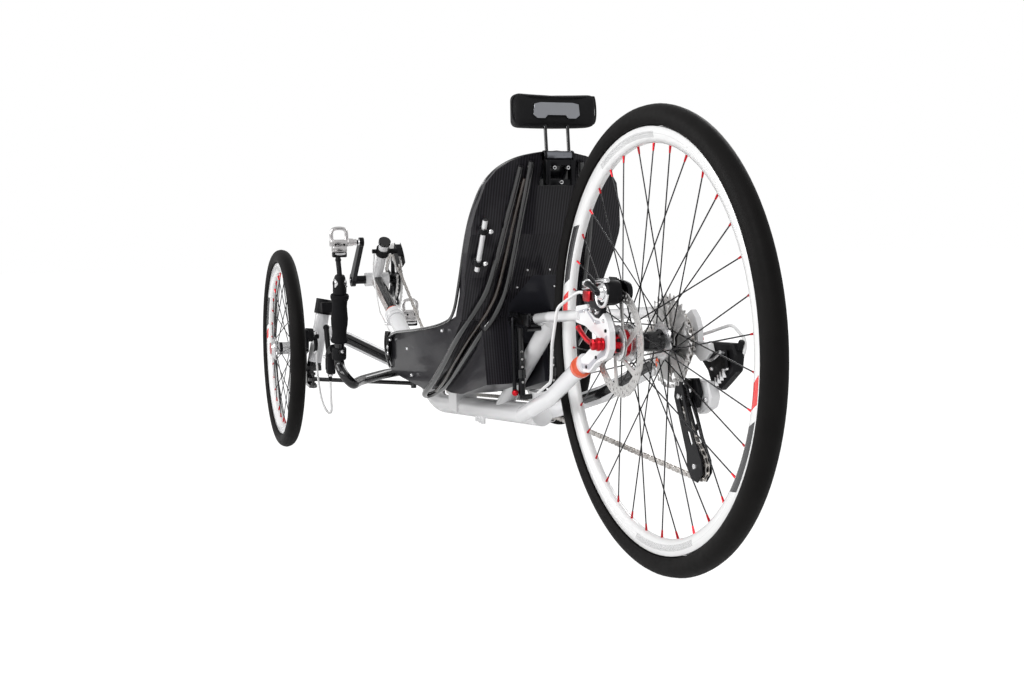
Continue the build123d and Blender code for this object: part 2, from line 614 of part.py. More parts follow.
bar_core = rod(along_grip(0), along_grip(400), BAR_RADIUS)
grip = union(rod(along_grip(54), along_grip(158), 17), rod(along_grip(150), along_grip(160), 20))
keep("grips", both(grip - bar_core))
bar_length = (grip_end - grip_start).length
shifter = union(rod(along_grip(bar_length), along_grip(bar_length + 34), 13),
                plate([(STEER_Y + y, BAR_Z + z) for y, z in ((232, 222), (258, 222), (260, 254), (240, 286), (230, 282),
                                                          (234, 248))], 264, 276))
keep("bar_end_shifters", both(shifter))
lever_body = [(138, 16), (160, 12), (206, 50), (218, 74), (206, 86), (140, 76)]
lever_blade = [(134, 64), (148, 64), (140, 120), (128, 130), (116, 124)]
lever = union(rod(along_grip(14), along_grip(40), 16),
              plate([(STEER_Y + y, BAR_Z + z) for y, z in lever_body], 268, 290),
              plate([(STEER_Y + y, BAR_Z + z) for y, z in lever_blade], 274, 286),
              rod((279, STEER_Y + 150, BAR_Z + 4), (279, STEER_Y + 150, BAR_Z + 20), 5),
              rod((270, STEER_Y + 224, BAR_Z + 74), (270, STEER_Y + 250, BAR_Z + 79), 6))
keep("brake_levers", both(lever - rod(along_grip(-6), along_grip(400), BAR_RADIUS)))


def tie_rod():
    inner, outer = vec(TIE_INNER), vec(TIE_OUTER)
    eye_in = rod((inner.X, inner.Y, inner.Z - 4), (inner.X, inner.Y, inner.Z + 4), 10)
    eye_out = rod((outer.X, outer.Y, outer.Z - 4), (outer.X, outer.Y, outer.Z + 4), 3 + TIE_DRIFT + 4)
    bore_in = rod((inner.X, inner.Y, inner.Z - 9), (inner.X, inner.Y, inner.Z + 9), 4 + RUN_GAP)
    bore_out = rod((outer.X, outer.Y, outer.Z - 9), (outer.X, outer.Y, outer.Z + 9), 3 + TIE_DRIFT)
    room_above = rod((inner.X, inner.Y, inner.Z + 4), (inner.X, inner.Y, inner.Z + 20), 7.5)
    room_below = rod((inner.X, inner.Y, inner.Z - 20), (inner.X, inner.Y, inner.Z - 4), 7.5)
    return less(union(rod(TIE_INNER, TIE_OUTER, 5), eye_in, eye_out), bore_in, bore_out, room_above, room_below)


keep_pair("tie_rod", tie_rod())


def on_kingpin(distance):
    return tuple(kingpin_at + kingpin_up * distance)


PLATE_X = KINGPIN_X + 28.5    # knuckle's upright plate, inner face
UPRIGHT_THICK = 7.0
upright = [(-14, 184), (14, 184), (16, 222), (48, 232), (48, 250), (14, 254), (0, 256), (-12, 250), (-18, 238)]
out_x, out_y, out_z = TIE_OUTER
knuckle = union(rod(on_kingpin(HEAD_BOTTOM - 12), on_kingpin(HEAD_TOP + 13), KINGPIN_RADIUS),
                rod(on_kingpin(HEAD_TOP + 0.3), on_kingpin(HEAD_TOP + 10), 13),
                rod(on_kingpin(HEAD_BOTTOM - 12), on_kingpin(HEAD_BOTTOM - 0.3), 17),
                block((KINGPIN_X - 6, FRONT_Y - 16, 180), (PLATE_X + UPRIGHT_THICK, FRONT_Y + 16, 193)),
                block((KINGPIN_X + 12, FRONT_Y - 10, 144), (KINGPIN_X + 29, FRONT_Y + 10, 181)),
                plate([(FRONT_Y + y, z) for y, z in upright], PLATE_X, PLATE_X + UPRIGHT_THICK),
                slab([(KINGPIN_X + x, FRONT_Y + y) for x, y in ((12, -10), (29, -10), (31, 50), (22, 64), (12, 50))],
                     144, 151),
                rod((out_x, out_y, 151), (out_x, out_y, out_z + 16), 3),
                rod((out_x, out_y, 144), (out_x, out_y, 156), 6),
                rod((out_x, out_y, out_z + 10), (out_x, out_y, out_z + 16), 5.5))
hub_frame_in = FRONT_HUB_IN - 3
stub = rod((PLATE_X - TRACK / 2 + 0.5, 0, 0), (21.7, 0, 0), FRONT_AXLE_RADIUS)
stub = stub + rod((PLATE_X - TRACK / 2 + 1, 0, 0), (hub_frame_in, 0, 0), 11)
keep_pair("knuckle", knuckle + at_front * stub)

caliper = block((PLATE_X + UPRIGHT_THICK - TRACK / 2 + 0.6, 40, -6), (-20, 84, 54))
caliper = caliper + rod((-62, 64, 36), (-46, 64, 36), 12)
caliper = caliper + block((-76, 58, 28), (-60, 74, 38))
caliper = caliper - rod((FRONT_ROTOR_X - 1.5, 0, 0), (FRONT_HUB_IN + 1.5, 0, 0), ROTOR_RADIUS + 2.5)
caliper = caliper - rod((-60, 0, 0), (-10, 0, 0), 30)
keep_pair("front_caliper", less(at_front * caliper, knuckle))

cap = less(rod(on_kingpin(HEAD_TOP), on_kingpin(HEAD_TOP + 36), 21),
           rod(on_kingpin(HEAD_TOP - 1), on_kingpin(HEAD_TOP + 16), 15.5))
ACCESSORY = (KINGPIN_X - 20, FRONT_Y + 36)
cap = cap + block((ACCESSORY[0] - 14, ACCESSORY[1] - 18, 324), (ACCESSORY[0] + 14, ACCESSORY[1] + 14, 348))
cap = less(cap, rod(on_kingpin(HEAD_TOP - 1), on_kingpin(HEAD_TOP + 16), 15.5),
           rod(on_kingpin(0), on_kingpin(HEAD_TOP), 30), rod((*ACCESSORY, 300), (*ACCESSORY, 360), 5))
keep("accessory_clamps", both(cap))

# ---------------------------------------------------------------- seat
BUCKET_HALF = 96.0            # bucket's half width, below the wings
RAIL_RADIUS = 5.5
TUNNEL_HALF = RISER_RADIUS + 4      # the riser passes under the seat here
rim_line = [(-362, 654), (-434, 506), (-484, 428), (-530, 354), (-600, 335), (-710, 319), (-870, 300),
            (-975, 290), (-1050, 277), (-1073, 235)]
under_line = [(-1040, 194), (-948, 190), (-821, 188), (-706, 184), (-634, 190), (-561, 207), (-474, 228),
              (-486, 290), (-497, 350), (-458, 428), (-405, 506), (-352, 655)]
inner_line = [(-1062, 234), (-1035, 194 + SEAT_WALL), (-948, 190 + SEAT_WALL), (-821, 188 + SEAT_WALL),
              (-706, 184 + SEAT_WALL), (-634, 190 + SEAT_WALL), (-563, 207 + SEAT_WALL), (-480, 228 + SEAT_WALL),
              (-486 - SEAT_WALL, 290), (-498 - SEAT_WALL, 349), (-459 - SEAT_WALL, 426), (-411, 505), (-366, 632)]
# a wing's floor rises from the base's underside to the back, between the bucket and the wing's side
wing_floor = [(-440, 372), (-500, 346), (-560, 300), (-641, 242), (-729, 196), (-845, 160), (-900, 140)]


def front_outline(inset):
    """Outline across X: the base's straight sides, then the back's edge as (distance inside SEAT_HALF, z)."""
    edge = [(8, 100), (8, 395), (4, 430), (0, 475), (0, 519), (6, 550), (16, 584), (19, 595), (36, 617), (61, 633),
            (86, 642), (115, 648)]
    right = [(SEAT_HALF - inset - x, z) for x, z in edge]
    return right + [(0, 651)] + [(-x, z) for x, z in right[::-1]]


def across(outline):
    """Prism along Y from an outline of (x, z) points."""
    edge = Polyline(*[(x, -1200, z) for x, z in outline], close=True)
    return extrude(make_face(edge), amount=1000, dir=(0, 1, 0))


def under_wings(lift, inside):
    """What lies under the wings' floors: everything outside the bucket, with the floor lifted."""
    outline = [(y, z + lift) for y, z in wing_floor] + [(-900, 100), (-440, 100)]
    corner = plate(outline, BUCKET_HALF - inside, 200)
    return corner + other_side(corner)


outside = (plate(rim_line + under_line, -SEAT_HALF, SEAT_HALF) & across(front_outline(0))) - under_wings(0, 0)
hollow = plate([(-700, 700), (-1200, 700), (-1200, 234)] + inner_line, -SEAT_HALF, SEAT_HALF)
hollow = (hollow & across(front_outline(SEAT_WALL))) - under_wings(SEAT_WALL * 1.15, SEAT_WALL)
tunnel = plate([(-650, 150), (-650, 184.4), (-480, 307.7), (-440, 307.7), (-440, 150)], -TUNNEL_HALF, TUNNEL_HALF)
ridge = plate([(-657, 150), (-657, 188), (-487, 312), (-440, 312), (-440, 150)], -TUNNEL_HALF - SEAT_WALL,
              TUNNEL_HALF + SEAT_WALL)
shell = outside - (hollow - ridge) - tunnel
# two rails on each side stiffen the back and edge the wing's floor
outer_rail = [(63, -365, 626), (78, -395, 540), (85, -428, 474), (92, -467, 410), (118, -497, 352),
              (131, -548, 312), (131, -641, 246), (131, -750, 190)]
inner_rail = [(45, -360, 634), (53, -394, 540), (53, -430, 472), (54, -470, 403), (66, -496, 354),
              (84, -560, 302), (94, -641, 243), (97, -729, 197), (98, -800, 174)]
for rail in (outer_rail, inner_rail):
    bent = less(pipe(rail, RAIL_RADIUS, 25), hollow)
    shell = shell + bent + other_side(bent)
keep("seat_shell", shell)
front_bracket = less(block((-24, -960, 110), (24, -900, 215)), main_tube, plate(under_line + [(-352, 900),
                     (-1200, 900), (-1200, 235), (-1073, 235)], -200, 200))
keep("seat_front_bracket", front_bracket)
STRUT_X = 31.0
STRUT_FOOT = (-462.0, 203.0)
STRUT_TOP = (-470.0, 350.0)
rear_bracket = union(plate([(-496, 338), (-496, 362), (-440, 362), (-392, 364), (-392, 340), (-440, 334)], 38, 42),
                     plate([(-496, 338), (-496, 362), (-440, 362), (-392, 364), (-392, 340), (-440, 334)], -42, -38),
                     disc(-42, 42, -404, 338.4, 7), disc(-42, 42, *STRUT_TOP, 6))
rear_bracket = less(rear_bracket, riser, shell, upper_stay, other_side(upper_stay))
keep("seat_rear_bracket", rear_bracket)
strut_lug = less(block((-12, STRUT_FOOT[0] - 16, 170), (12, STRUT_FOOT[0] + 16, STRUT_FOOT[1] + 9)),
                 disc(-60, 60, *STRUT_FOOT, 5))
struts = disc(-STRUT_X - 6, STRUT_X + 6, *STRUT_FOOT, 5)
for side in (1, -1):
    foot, top = Vector(side * STRUT_X, *STRUT_FOOT), Vector(side * STRUT_X, STRUT_TOP[0] + 4, STRUT_TOP[1] - 3)
    knob = rod(tuple(foot + (top - foot) * 0.25), tuple(foot + (top - foot) * 0.36), 8)
    struts = struts + (rod(tuple(foot), tuple(top), 5) + knob)
struts = less(struts, disc(-60, 60, *STRUT_TOP, 6), shell)
keep("seat_struts", struts)
keep("main_tube", main_tube + strut_lug)

PAD = (158.0, 44.0, 63.0)
PAD_AT = (0.0, -371.0, 719.0)
CLAMP_TUBE = (-347.0, 641.0)
WIRE_X = 21.0
pad = fillet((Pos(*PAD_AT) * Box(*PAD)).edges(), 12)
keep("headrest_pad", pad)
mount = union(plate([(-375, 592), (-360, 634), (-353, 634), (-369, 590)], -27, 27),
              plate([(-362, 628), (-356, 646), (-347, 646), (-347, 628)], -27, 27),
              disc(-28, 28, *CLAMP_TUBE, 7.5))
for side in (1, -1):
    mount = mount + rod((side * WIRE_X, *CLAMP_TUBE), (side * WIRE_X, -353, PAD_AT[2] - 24), 3)
keep("headrest_mount", less(mount, shell, pad))

HOLDER_TOP = Vector(SEAT_HALF - 20, -382, 532)
HOLDER_RUN = Vector(0, -52.5, -90).normalized()
HOLDER_OFF = Vector(0, -90, 52.5).normalized() * 8        # towards the seat's back
HOLDER_BORE = 3.0
HOLDER_DEPTH = 60.0
holder = rod(tuple(HOLDER_TOP), tuple(HOLDER_TOP + HOLDER_RUN * 104), 5)
for place in (22, 88):
    clip_at = HOLDER_TOP + HOLDER_RUN * place
    holder = holder + rod(tuple(clip_at), tuple(clip_at + HOLDER_OFF * 1.55), 5)
    holder = holder + rod(tuple(clip_at - HOLDER_RUN * 5), tuple(clip_at + HOLDER_RUN * 5), 7)
holder = holder - rod(tuple(HOLDER_TOP - HOLDER_RUN), tuple(HOLDER_TOP + HOLDER_RUN * HOLDER_DEPTH), HOLDER_BORE)
keep("flag_holder", less(holder, shell))

# ---------------------------------------------------------------- rear brake and cables
rear_caliper = union(block((42, -72, REAR_RADIUS + 54), (66, 12, REAR_RADIUS + 90)),
                     block((58, -96, REAR_RADIUS + 56), (66, -70, REAR_RADIUS + 84)),
                     block((DROPOUT_INSIDE - 4, -52, REAR_RADIUS + 30), (axle_out, -12, REAR_RADIUS + 62)),
                     disc(60, 84, 8, REAR_RADIUS + 76, 18))
rear_caliper = rear_caliper - disc(REAR_ROTOR_X - 1.5, REAR_ROTOR_X + ROTOR_THICK + 1.5, 0, REAR_RADIUS, 82)
rear_caliper = less(rear_caliper, dropout, upper_stay)
keep("rear_caliper", rear_caliper)
CABLE_RADIUS = 2.5
rear_cable = pipe([(48, -335, 229), (66, -230, 262), (90, -165, 330), (90, -140, 392), (62, -124, 416),
                   (62, -80, 416)], CABLE_RADIUS, [60, 40, 22, 14])
keep("rear_brake_cable", less(rear_cable, lower_stay, upper_stay, rear_caliper))
gear_cable = pipe([(-80, -86, 318), (-100, -20, 350), (-100, 66, 372), (-94, 118, 350), (-90, 96, 308)],
                  CABLE_RADIUS, [50, 40, 18])
gear_cable = less(gear_cable, nodes["rear_derailleur"], right_dropout, other_side(lower_stay))
front_cable = pipe([(24, clamp_middle.Y + 2, clamp_middle.Z), (27, FRONT_Y - 414, 400),
                    (27, FRONT_Y - 346, 292), (25, FRONT_Y - 246, 246), (22.4, FRONT_Y - 176, 236)], 2, [25, 25, 40])
front_cable = less(front_cable, nodes["front_derailleur"], main_tube, boom)
keep("gear_cables", separate(gear_cable, front_cable))

# free brake cables, from the levers to the calipers
CORD_RADIUS = 2.5
CORD_POINTS = [(279, -1040, 178.2), (279, -1040, 140), (270, -1078, 101), (272, -1120, 92), (279, -1156, 116),
               (282, -1178, 165), (282, -1190, 216), (282, -1188, 268)]
runs_of_cord = [(vec(b) - vec(a)).length for a, b in zip(CORD_POINTS, CORD_POINTS[1:])]
cord_radii = []
for number in range(1, len(CORD_POINTS) - 1):
    before = vec(CORD_POINTS[number]) - vec(CORD_POINTS[number - 1])
    after = vec(CORD_POINTS[number + 1]) - vec(CORD_POINTS[number])
    half_turn = radians(before.get_angle(after)) / 2
    cord_radii.append(0.45 * min(before.length, after.length) / tan(half_turn))
print("cord radii", [round(r, 1) for r in cord_radii], "runs", [round(r) for r in runs_of_cord])
keep_pair("brake_cable", less(pipe(CORD_POINTS, CORD_RADIUS, cord_radii), nodes["left_front_caliper"]))

# ---------------------------------------------------------------- out
os.makedirs("parts", exist_ok=True)
boxes = [shape.bounding_box() for shape in nodes.values()]
shift = -(min(box.min.Y for box in boxes) + max(box.max.Y for box in boxes)) / 2
print("moved along Y by", round(shift, 3))
for name, shape in nodes.items():
    export_step(Pos(0, shift, 0) * shape, f"parts/{name}.step")
print(len(nodes), "nodes")
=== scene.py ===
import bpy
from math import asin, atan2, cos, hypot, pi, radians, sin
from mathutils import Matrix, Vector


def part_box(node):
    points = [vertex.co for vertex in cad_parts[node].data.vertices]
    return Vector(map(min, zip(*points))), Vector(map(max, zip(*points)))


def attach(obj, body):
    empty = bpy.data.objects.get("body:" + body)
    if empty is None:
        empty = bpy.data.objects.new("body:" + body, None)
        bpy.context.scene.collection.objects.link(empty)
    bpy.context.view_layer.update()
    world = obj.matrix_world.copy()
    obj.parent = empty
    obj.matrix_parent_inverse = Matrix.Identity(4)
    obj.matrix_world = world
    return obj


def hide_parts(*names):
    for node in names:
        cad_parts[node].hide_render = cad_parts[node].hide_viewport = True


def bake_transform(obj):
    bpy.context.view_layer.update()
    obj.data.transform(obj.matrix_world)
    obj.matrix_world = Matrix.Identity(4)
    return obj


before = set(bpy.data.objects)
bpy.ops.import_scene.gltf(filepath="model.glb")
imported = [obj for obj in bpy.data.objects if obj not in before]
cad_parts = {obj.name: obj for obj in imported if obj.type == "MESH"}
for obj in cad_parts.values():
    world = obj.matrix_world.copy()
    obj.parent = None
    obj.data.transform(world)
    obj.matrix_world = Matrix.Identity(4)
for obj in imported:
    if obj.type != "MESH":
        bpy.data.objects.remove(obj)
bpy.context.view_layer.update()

# %% [markdown]
# # A recumbent trike, dressed
# The frame that was just loaded holds every tube, wheel and joint at its real size. This script
# only gives it looks: paint, carbon, rubber and metal, and the fine pieces that a maker would buy in.

MM = 0.001
TYRE, CAMBER = 17.5, 1.2  # half the width of a tyre (mm) and the lean of the front wheels (degrees)
REAR_RADIUS, FRONT_RADIUS = 346.0, 238.0
TRACK, WHEELBASE = 702.0, 1254.0
rear_low, rear_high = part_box("rear_tyre")
REAR_Y = (rear_low.y + rear_high.y) / 2


def at(x, y, z):
    """A place in millimetres from the rear wheel's contact with the ground, in the frame's metres."""
    return Vector((x * MM, y * MM + REAR_Y, z * MM))


# %% [markdown]
# ## Camera
# The camera comes first, so that every piece can be judged from the same place: low, behind the
# trike and to its left, with a lens that is close to what the eye sees.

# %% Camera
LENS, SENSOR = 39.74, 36.0
EYE = at(763.79, 1495.75, 514.43)
LOOK = Vector((-0.34127, -0.93488, -0.09760))
RIGHT = Vector((-0.93867, 0.34441, -0.01684))
UP = RIGHT.cross(LOOK)
bpy.ops.object.camera_add(location=EYE)
camera = bpy.context.object
camera.data.lens, camera.data.sensor_width, camera.data.clip_end = LENS, SENSOR, 100
camera.matrix_world = Matrix((*zip(RIGHT, UP, -LOOK, EYE), (0, 0, 0, 1)))
bpy.context.scene.camera = camera
print("camera at", [round(value, 2) for value in EYE])


# %% [markdown]
# ## Nodes by expressions
# A shader is a sum of small steps. Writing the steps as arithmetic keeps them readable: each operator
# below adds one Math node, and colours go through their own kind of mix.

# %% Nodes by expressions
class Sock:
    """A socket that adds Math nodes when it is used in an expression."""

    def __init__(self, tree, socket):
        self.tree, self.socket = tree, socket

    def fn(self, operation, *others, first=None):
        values = dict(enumerate((self, *others) if first is None else (first, self)))
        return node(self.tree, "ShaderNodeMath", {"operation": operation}, values)

    def __add__(self, other): return self.fn("ADD", other)
    def __sub__(self, other): return self.fn("SUBTRACT", other)
    def __rsub__(self, other): return self.fn("SUBTRACT", first=other)
    def __mul__(self, other): return self.fn("MULTIPLY", other)
    def __gt__(self, other): return self.fn("GREATER_THAN", other)
    def __lt__(self, other): return self.fn("LESS_THAN", other)
    __radd__, __rmul__ = __add__, __mul__


def node(tree, kind, settings=None, inputs=None, output=0):
    """Adds one node; settings are its properties, inputs its sockets by name or number."""
    made = tree.nodes.new(kind)
    for key, value in (settings or {}).items():
        setattr(made, key, value)
    for key, value in (inputs or {}).items():
        if isinstance(value, Sock):
            tree.links.new(value.socket, made.inputs[key])
        else:
            made.inputs[key].default_value = value
    return Sock(tree, made.outputs[output])


def shaded(colour, share):
    return tuple(part * share for part in colour)


def mix(tree, mask, first, second):
    """Colour second where the mask is 1, and first where it is 0."""
    pair = [value if isinstance(value, Sock) else (*value, 1) for value in (first, second)]
    return node(tree, "ShaderNodeMix", {"data_type": "RGBA"}, {0: mask, 6: pair[0], 7: pair[1]}, output=2)


class Finish:
    """One material: a Principled shader and the places that its pattern reads."""

    def __init__(self, name, **sockets):
        self.material = bpy.data.materials.new(name)
        self.material.use_nodes = True
        self.tree = self.material.node_tree
        self.shader = self.tree.nodes["Principled BSDF"]
        for key, value in sockets.items():
            self.put(key.replace("_", " "), value)
        self.place = node(self.tree, "ShaderNodeTexCoord", output=3)

    def put(self, socket, value):
        if isinstance(value, Sock):
            self.tree.links.new(value.socket, self.shader.inputs[socket])
        else:
            self.shader.inputs[socket].default_value = (*value, 1) if isinstance(value, tuple) else value

    def parts(self, vector):
        """The x, y and z of a vector."""
        made = self.tree.nodes.new("ShaderNodeSeparateXYZ")
        self.tree.links.new(vector.socket, made.inputs[0])
        return [Sock(self.tree, made.outputs[number]) for number in range(3)]

    def axes(self, centre=(0, 0, 0)):
        """x, y and z of the place, counted from a centre."""
        return self.parts(node(self.tree, "ShaderNodeVectorMath", {"operation": "SUBTRACT"},
                               {0: self.place, 1: centre}))

    def wheel_axes(self, centre):
        """x, y, z and the distance from an X axle, in metres."""
        x, y, z = self.axes(at(*centre))
        return x, y, z, ((y * y) + (z * z)).fn("SQRT")

    def noise(self, scale, detail=3.0, rough=0.5):
        return node(self.tree, "ShaderNodeTexNoise", None,
                    {"Vector": self.place, "Scale": scale, "Detail": detail, "Roughness": rough})

    def surface(self, colour, rough, height, strength, distance=0.0003):
        """Sets what changes over the surface and gives the material."""
        self.put("Base Color", colour)
        self.put("Roughness", rough)
        self.put("Normal", node(self.tree, "ShaderNodeBump", None,
                                {"Height": height, "Strength": strength, "Distance": distance}))
        return self.material


print("node tools ready")

# %% [markdown]
# ## Floor, backdrop and lamps
# The studio is white all round. The floor mixes its own glow with light that it receives, and only the
# second part shows the shadow, so the trike stands on white and still has a soft shadow below it.

# %% Floor, backdrop and lamps
FLOOR_GLOW, GLOW_SHARE = 1.22, 0.8
BACKDROP, SEEN_EXTRA, MIRROR_EXTRA = 0.5, 0.5, 0.1  # light on the trike, and what is added for each kind of ray
floor_finish = Finish("studio_white", Base_Color=(0.9, 0.9, 0.9), Roughness=0.9)
tree = floor_finish.tree
rays = tree.nodes.new("ShaderNodeLightPath").outputs
glow = node(tree, "ShaderNodeEmission", None, {"Color": (1, 1, 1, 1), "Strength": FLOOR_GLOW})
shade = node(tree, "ShaderNodeMixShader", None, {
    0: Sock(tree, rays["Is Camera Ray"]) * GLOW_SHARE, 1: Sock(tree, floor_finish.shader.outputs[0]), 2: glow})
tree.links.new(shade.socket, tree.nodes["Material Output"].inputs[0])
bpy.ops.mesh.primitive_plane_add(size=30, location=(0, 0, 0))
floor = bpy.context.object
floor.name = "floor"
floor.data.materials.append(floor_finish.material)

world = bpy.data.worlds.new("studio")
bpy.context.scene.world = world
world.use_nodes = True
tree = world.node_tree
rays = tree.nodes.new("ShaderNodeLightPath").outputs
shown = Sock(tree, rays["Is Camera Ray"]).fn("MAXIMUM", Sock(tree, rays["Is Transmission Ray"]))
mirrored = Sock(tree, rays["Is Glossy Ray"])
backdrop = tree.nodes["Background"].inputs
backdrop["Color"].default_value = (1, 1, 1, 1)
tree.links.new((shown * SEEN_EXTRA + mirrored * MIRROR_EXTRA + BACKDROP).socket, backdrop["Strength"])
bpy.context.scene.view_settings.view_transform = "Standard"

LAMPS = [  # name, place (m), aim (m), size (m), power (W)
    ("key", (2.6, 3.2, 3.4), (0, 0.1, 0.3), 2.2, 95),
    ("side", (3.6, -1.6, 1.8), (0, 0, 0.3), 2.0, 55),
    ("rim", (-3.0, -2.4, 2.6), (0, 0, 0.3), 2.0, 50),
    ("strip", (2.4, 0.7, 1.3), (0.05, 0.2, 0.35), 0.5, 14),
]
for name, place, aim, size, power in LAMPS:
    bpy.ops.object.light_add(type="AREA", location=place)
    lamp = bpy.context.object
    lamp.name = "lamp_" + name
    lamp.data.size, lamp.data.energy = size, power
    lamp.rotation_euler = (Vector(aim) - Vector(place)).to_track_quat("-Z", "Y").to_euler()
print(len(LAMPS), "lamps")

# %% [markdown]
# ## Finishes
# Each finish is one function of the real surface: gloss paint has a slight orange peel, metal its
# fine grain, and plastic and foam their pores.

# %% Paint, plastic and metal
def gloss(name, colour, rough=0.18, peel=0.04, coat=0.6):
    finish = Finish(name, Coat_Weight=coat, Coat_Roughness=0.06)
    return finish.surface(mix(finish.tree, finish.noise(9, 4), shaded(colour, 0.93), colour),
                          finish.noise(60, 2) * 0.08 + (rough - 0.04), finish.noise(900, 2), peel, 0.0004)


def plastic(name, colour, rough=0.45, grain=1400, depth=0.12):
    finish = Finish(name, Specular_IOR_Level=0.12)
    return finish.surface(mix(finish.tree, finish.noise(30, 4), shaded(colour, 0.75), shaded(colour, 1.15)),
                          finish.noise(80, 3) * 0.2 + (rough - 0.1), finish.noise(grain, 3), depth)


def metal(name, colour, rough=0.3, scale=600, depth=0.1):
    finish = Finish(name, Metallic=1.0)
    grain = finish.noise(scale, 4, 0.6)
    return finish.surface(mix(finish.tree, grain, shaded(colour, 0.8), colour),
                          grain * 0.25 + (rough - 0.12), grain, depth, 0.0002)


WHITE_PAINT = gloss("white_paint", (0.82, 0.82, 0.83))
BLACK_PAINT = gloss("black_paint", (0.004, 0.004, 0.005), 0.16, 0.04, 0.2)
ORANGE_BAND = gloss("orange_band", (0.78, 0.10, 0.03))
WHITE_SHEATH = gloss("white_sheath", (0.8, 0.8, 0.8), 0.35, 0.02, 0.2)
PLASTIC = plastic("black_plastic", (0.008, 0.008, 0.009))
FOAM = plastic("foam", (0.008, 0.008, 0.009), 0.85, 2600, 0.5)
RED = metal("red_anodised", (0.62, 0.02, 0.03), 0.3)
DARK = metal("black_metal", (0.025, 0.025, 0.027), 0.3)
STEEL = metal("steel", (0.82, 0.81, 0.8), 0.34)
ALLOY = metal("alloy", (0.85, 0.85, 0.86), 0.32)
CHROME = metal("chrome", (0.93, 0.93, 0.94), 0.18, depth=0.02)
print(len(bpy.data.materials), "materials")


# %% [markdown]
# ## Carbon cloth
# Fine ribs run up the back and along the sides under clear coat, and the low middle of the back is a
# smooth facet. The way that a face looks decides which direction its ribs are counted in.

# %% Carbon cloth
RIB, THREAD = 0.0050, 0.0022  # spacing (m)


def carbon():
    finish = Finish("carbon", Specular_IOR_Level=0.12, Coat_Weight=0.3, Coat_Roughness=0.09)
    x, y, z = finish.axes(at(0, 0, 0))
    facing = finish.parts(node(finish.tree, "ShaderNodeNewGeometry", output=1))
    side = facing[0].fn("ABSOLUTE") > 0.7
    place = x * (1 - side) + (y * 0.8 + z * 0.5) * side
    rib = (place * (2 * pi / RIB)).fn("SINE") * 0.5 + 0.5
    thread = (((y + z) * (2 * pi / THREAD)).fn("SINE") * 0.5 + 0.5) * 0.35
    facet = (x.fn("ABSOLUTE") < 0.045) * (z < 0.43) * (z + x * 1.4 < 0.44)
    weave = (rib * 0.75 + thread * 0.6) * (1 - facet * 0.8)
    ribbed = mix(finish.tree, weave, (0.0015, 0.0015, 0.002), (0.028, 0.026, 0.032))
    return finish.surface(mix(finish.tree, facet, ribbed, (0.022, 0.022, 0.028)),
                          0.42 - weave * 0.14 + finish.noise(14, 3) * 0.06, weave, 0.12)


CARBON = carbon()
print(CARBON.name, len(CARBON.node_tree.nodes), "nodes")


# %% [markdown]
# ## Rubber and cloth
# Rubber is nearly black and dull with a soft cloud of dust. The pad's cloth is a grid of threads, drawn
# by two crossing waves.

# %% Rubber and cloth
def rubber():
    finish = Finish("tyre_rubber", Specular_IOR_Level=0.08)
    return finish.surface(mix(finish.tree, finish.noise(22, 5), (0.003, 0.0028, 0.0028), (0.009, 0.0082, 0.008)),
                          finish.noise(120, 3) * 0.18 + 0.46, finish.noise(1500, 3), 0.15)


def cloth():
    finish = Finish("pad_cloth", Sheen_Weight=0.08, Specular_IOR_Level=0.15)
    x, y, z = finish.axes()
    weave = ((x * 5200).fn("SINE") * (z * 5200).fn("SINE")) * 0.5 + 0.5
    return finish.surface(mix(finish.tree, weave, (0.004, 0.004, 0.0045), (0.014, 0.014, 0.015)),
                          0.8 + finish.noise(60) * 0.12, weave + finish.noise(90, 4) * 0.8, 0.3, 0.0004)


TYRE_RUBBER, PAD_CLOTH = rubber(), cloth()
print(TYRE_RUBBER.name, PAD_CLOTH.name)

# %% [markdown]
# ## Finishes of the frame's own pieces
# The solids that stay in sight keep their shape and only get a finish. The others are replaced further
# on by finer pieces, and a few tubes get a painted panel at the end.

# %% Finishes of the frame's own pieces
def dress(finish, names):
    for name in names.split():
        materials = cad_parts[name].data.materials
        materials.clear()
        materials.append(finish)
    print(finish.name, "on", names)


dress(WHITE_PAINT, "main_tube seat_riser upper_stays dropouts crank_housing seat_front_bracket chain_tube")
dress(BLACK_PAINT, "steering_pivot seat_rear_bracket seat_struts post_cap headrest_mount handlebar "
                   "left_tie_rod right_tie_rod left_knuckle right_knuckle")
dress(PLASTIC, "accessory_clamps chain_idlers front_derailleur")
dress(DARK, "crankset")
dress(ALLOY, "flag_holder")
dress(CARBON, "seat_shell")
dress(WHITE_SHEATH, "rear_brake_cable gear_cables")

# %% [markdown]
# ## A maker's tools
# The bought-in pieces are made from a few kinds of shape: turned ones (rims, hubs, pulleys), plates cut
# to an outline (sprockets, discs, levers), bars along a line, and blocks with broken edges. One helper
# for each keeps the pieces short. Every helper gives a mesh that has its finish and lies at its place.

# %% Shaping helpers
def clear():
    bpy.ops.object.select_all(action="DESELECT")


def only(thing):
    clear()
    thing.select_set(True)
    bpy.context.view_layer.objects.active = thing


def edit_mesh(*steps):
    """Runs mesh tools, given as (tool, settings), on all of the active mesh."""
    bpy.ops.object.mode_set(mode="EDIT")
    for tool, settings in steps:
        bpy.ops.mesh.select_all(action="SELECT")
        tool(**settings)
    bpy.ops.object.mode_set(mode="OBJECT")


def settle(finish, smooth=35, matrix=None):
    """The active object becomes a mesh at its place, with its finish."""
    thing = bpy.context.object
    only(thing)
    if thing.type != "MESH":
        bpy.ops.object.convert(target="MESH")
        thing = bpy.context.object
    bpy.ops.object.transform_apply(location=True, rotation=True, scale=True)
    if matrix:
        thing.data.transform(matrix)
    thing.data.materials.clear()
    thing.data.materials.append(finish)
    bpy.ops.object.shade_smooth_by_angle(angle=radians(smooth))
    return thing


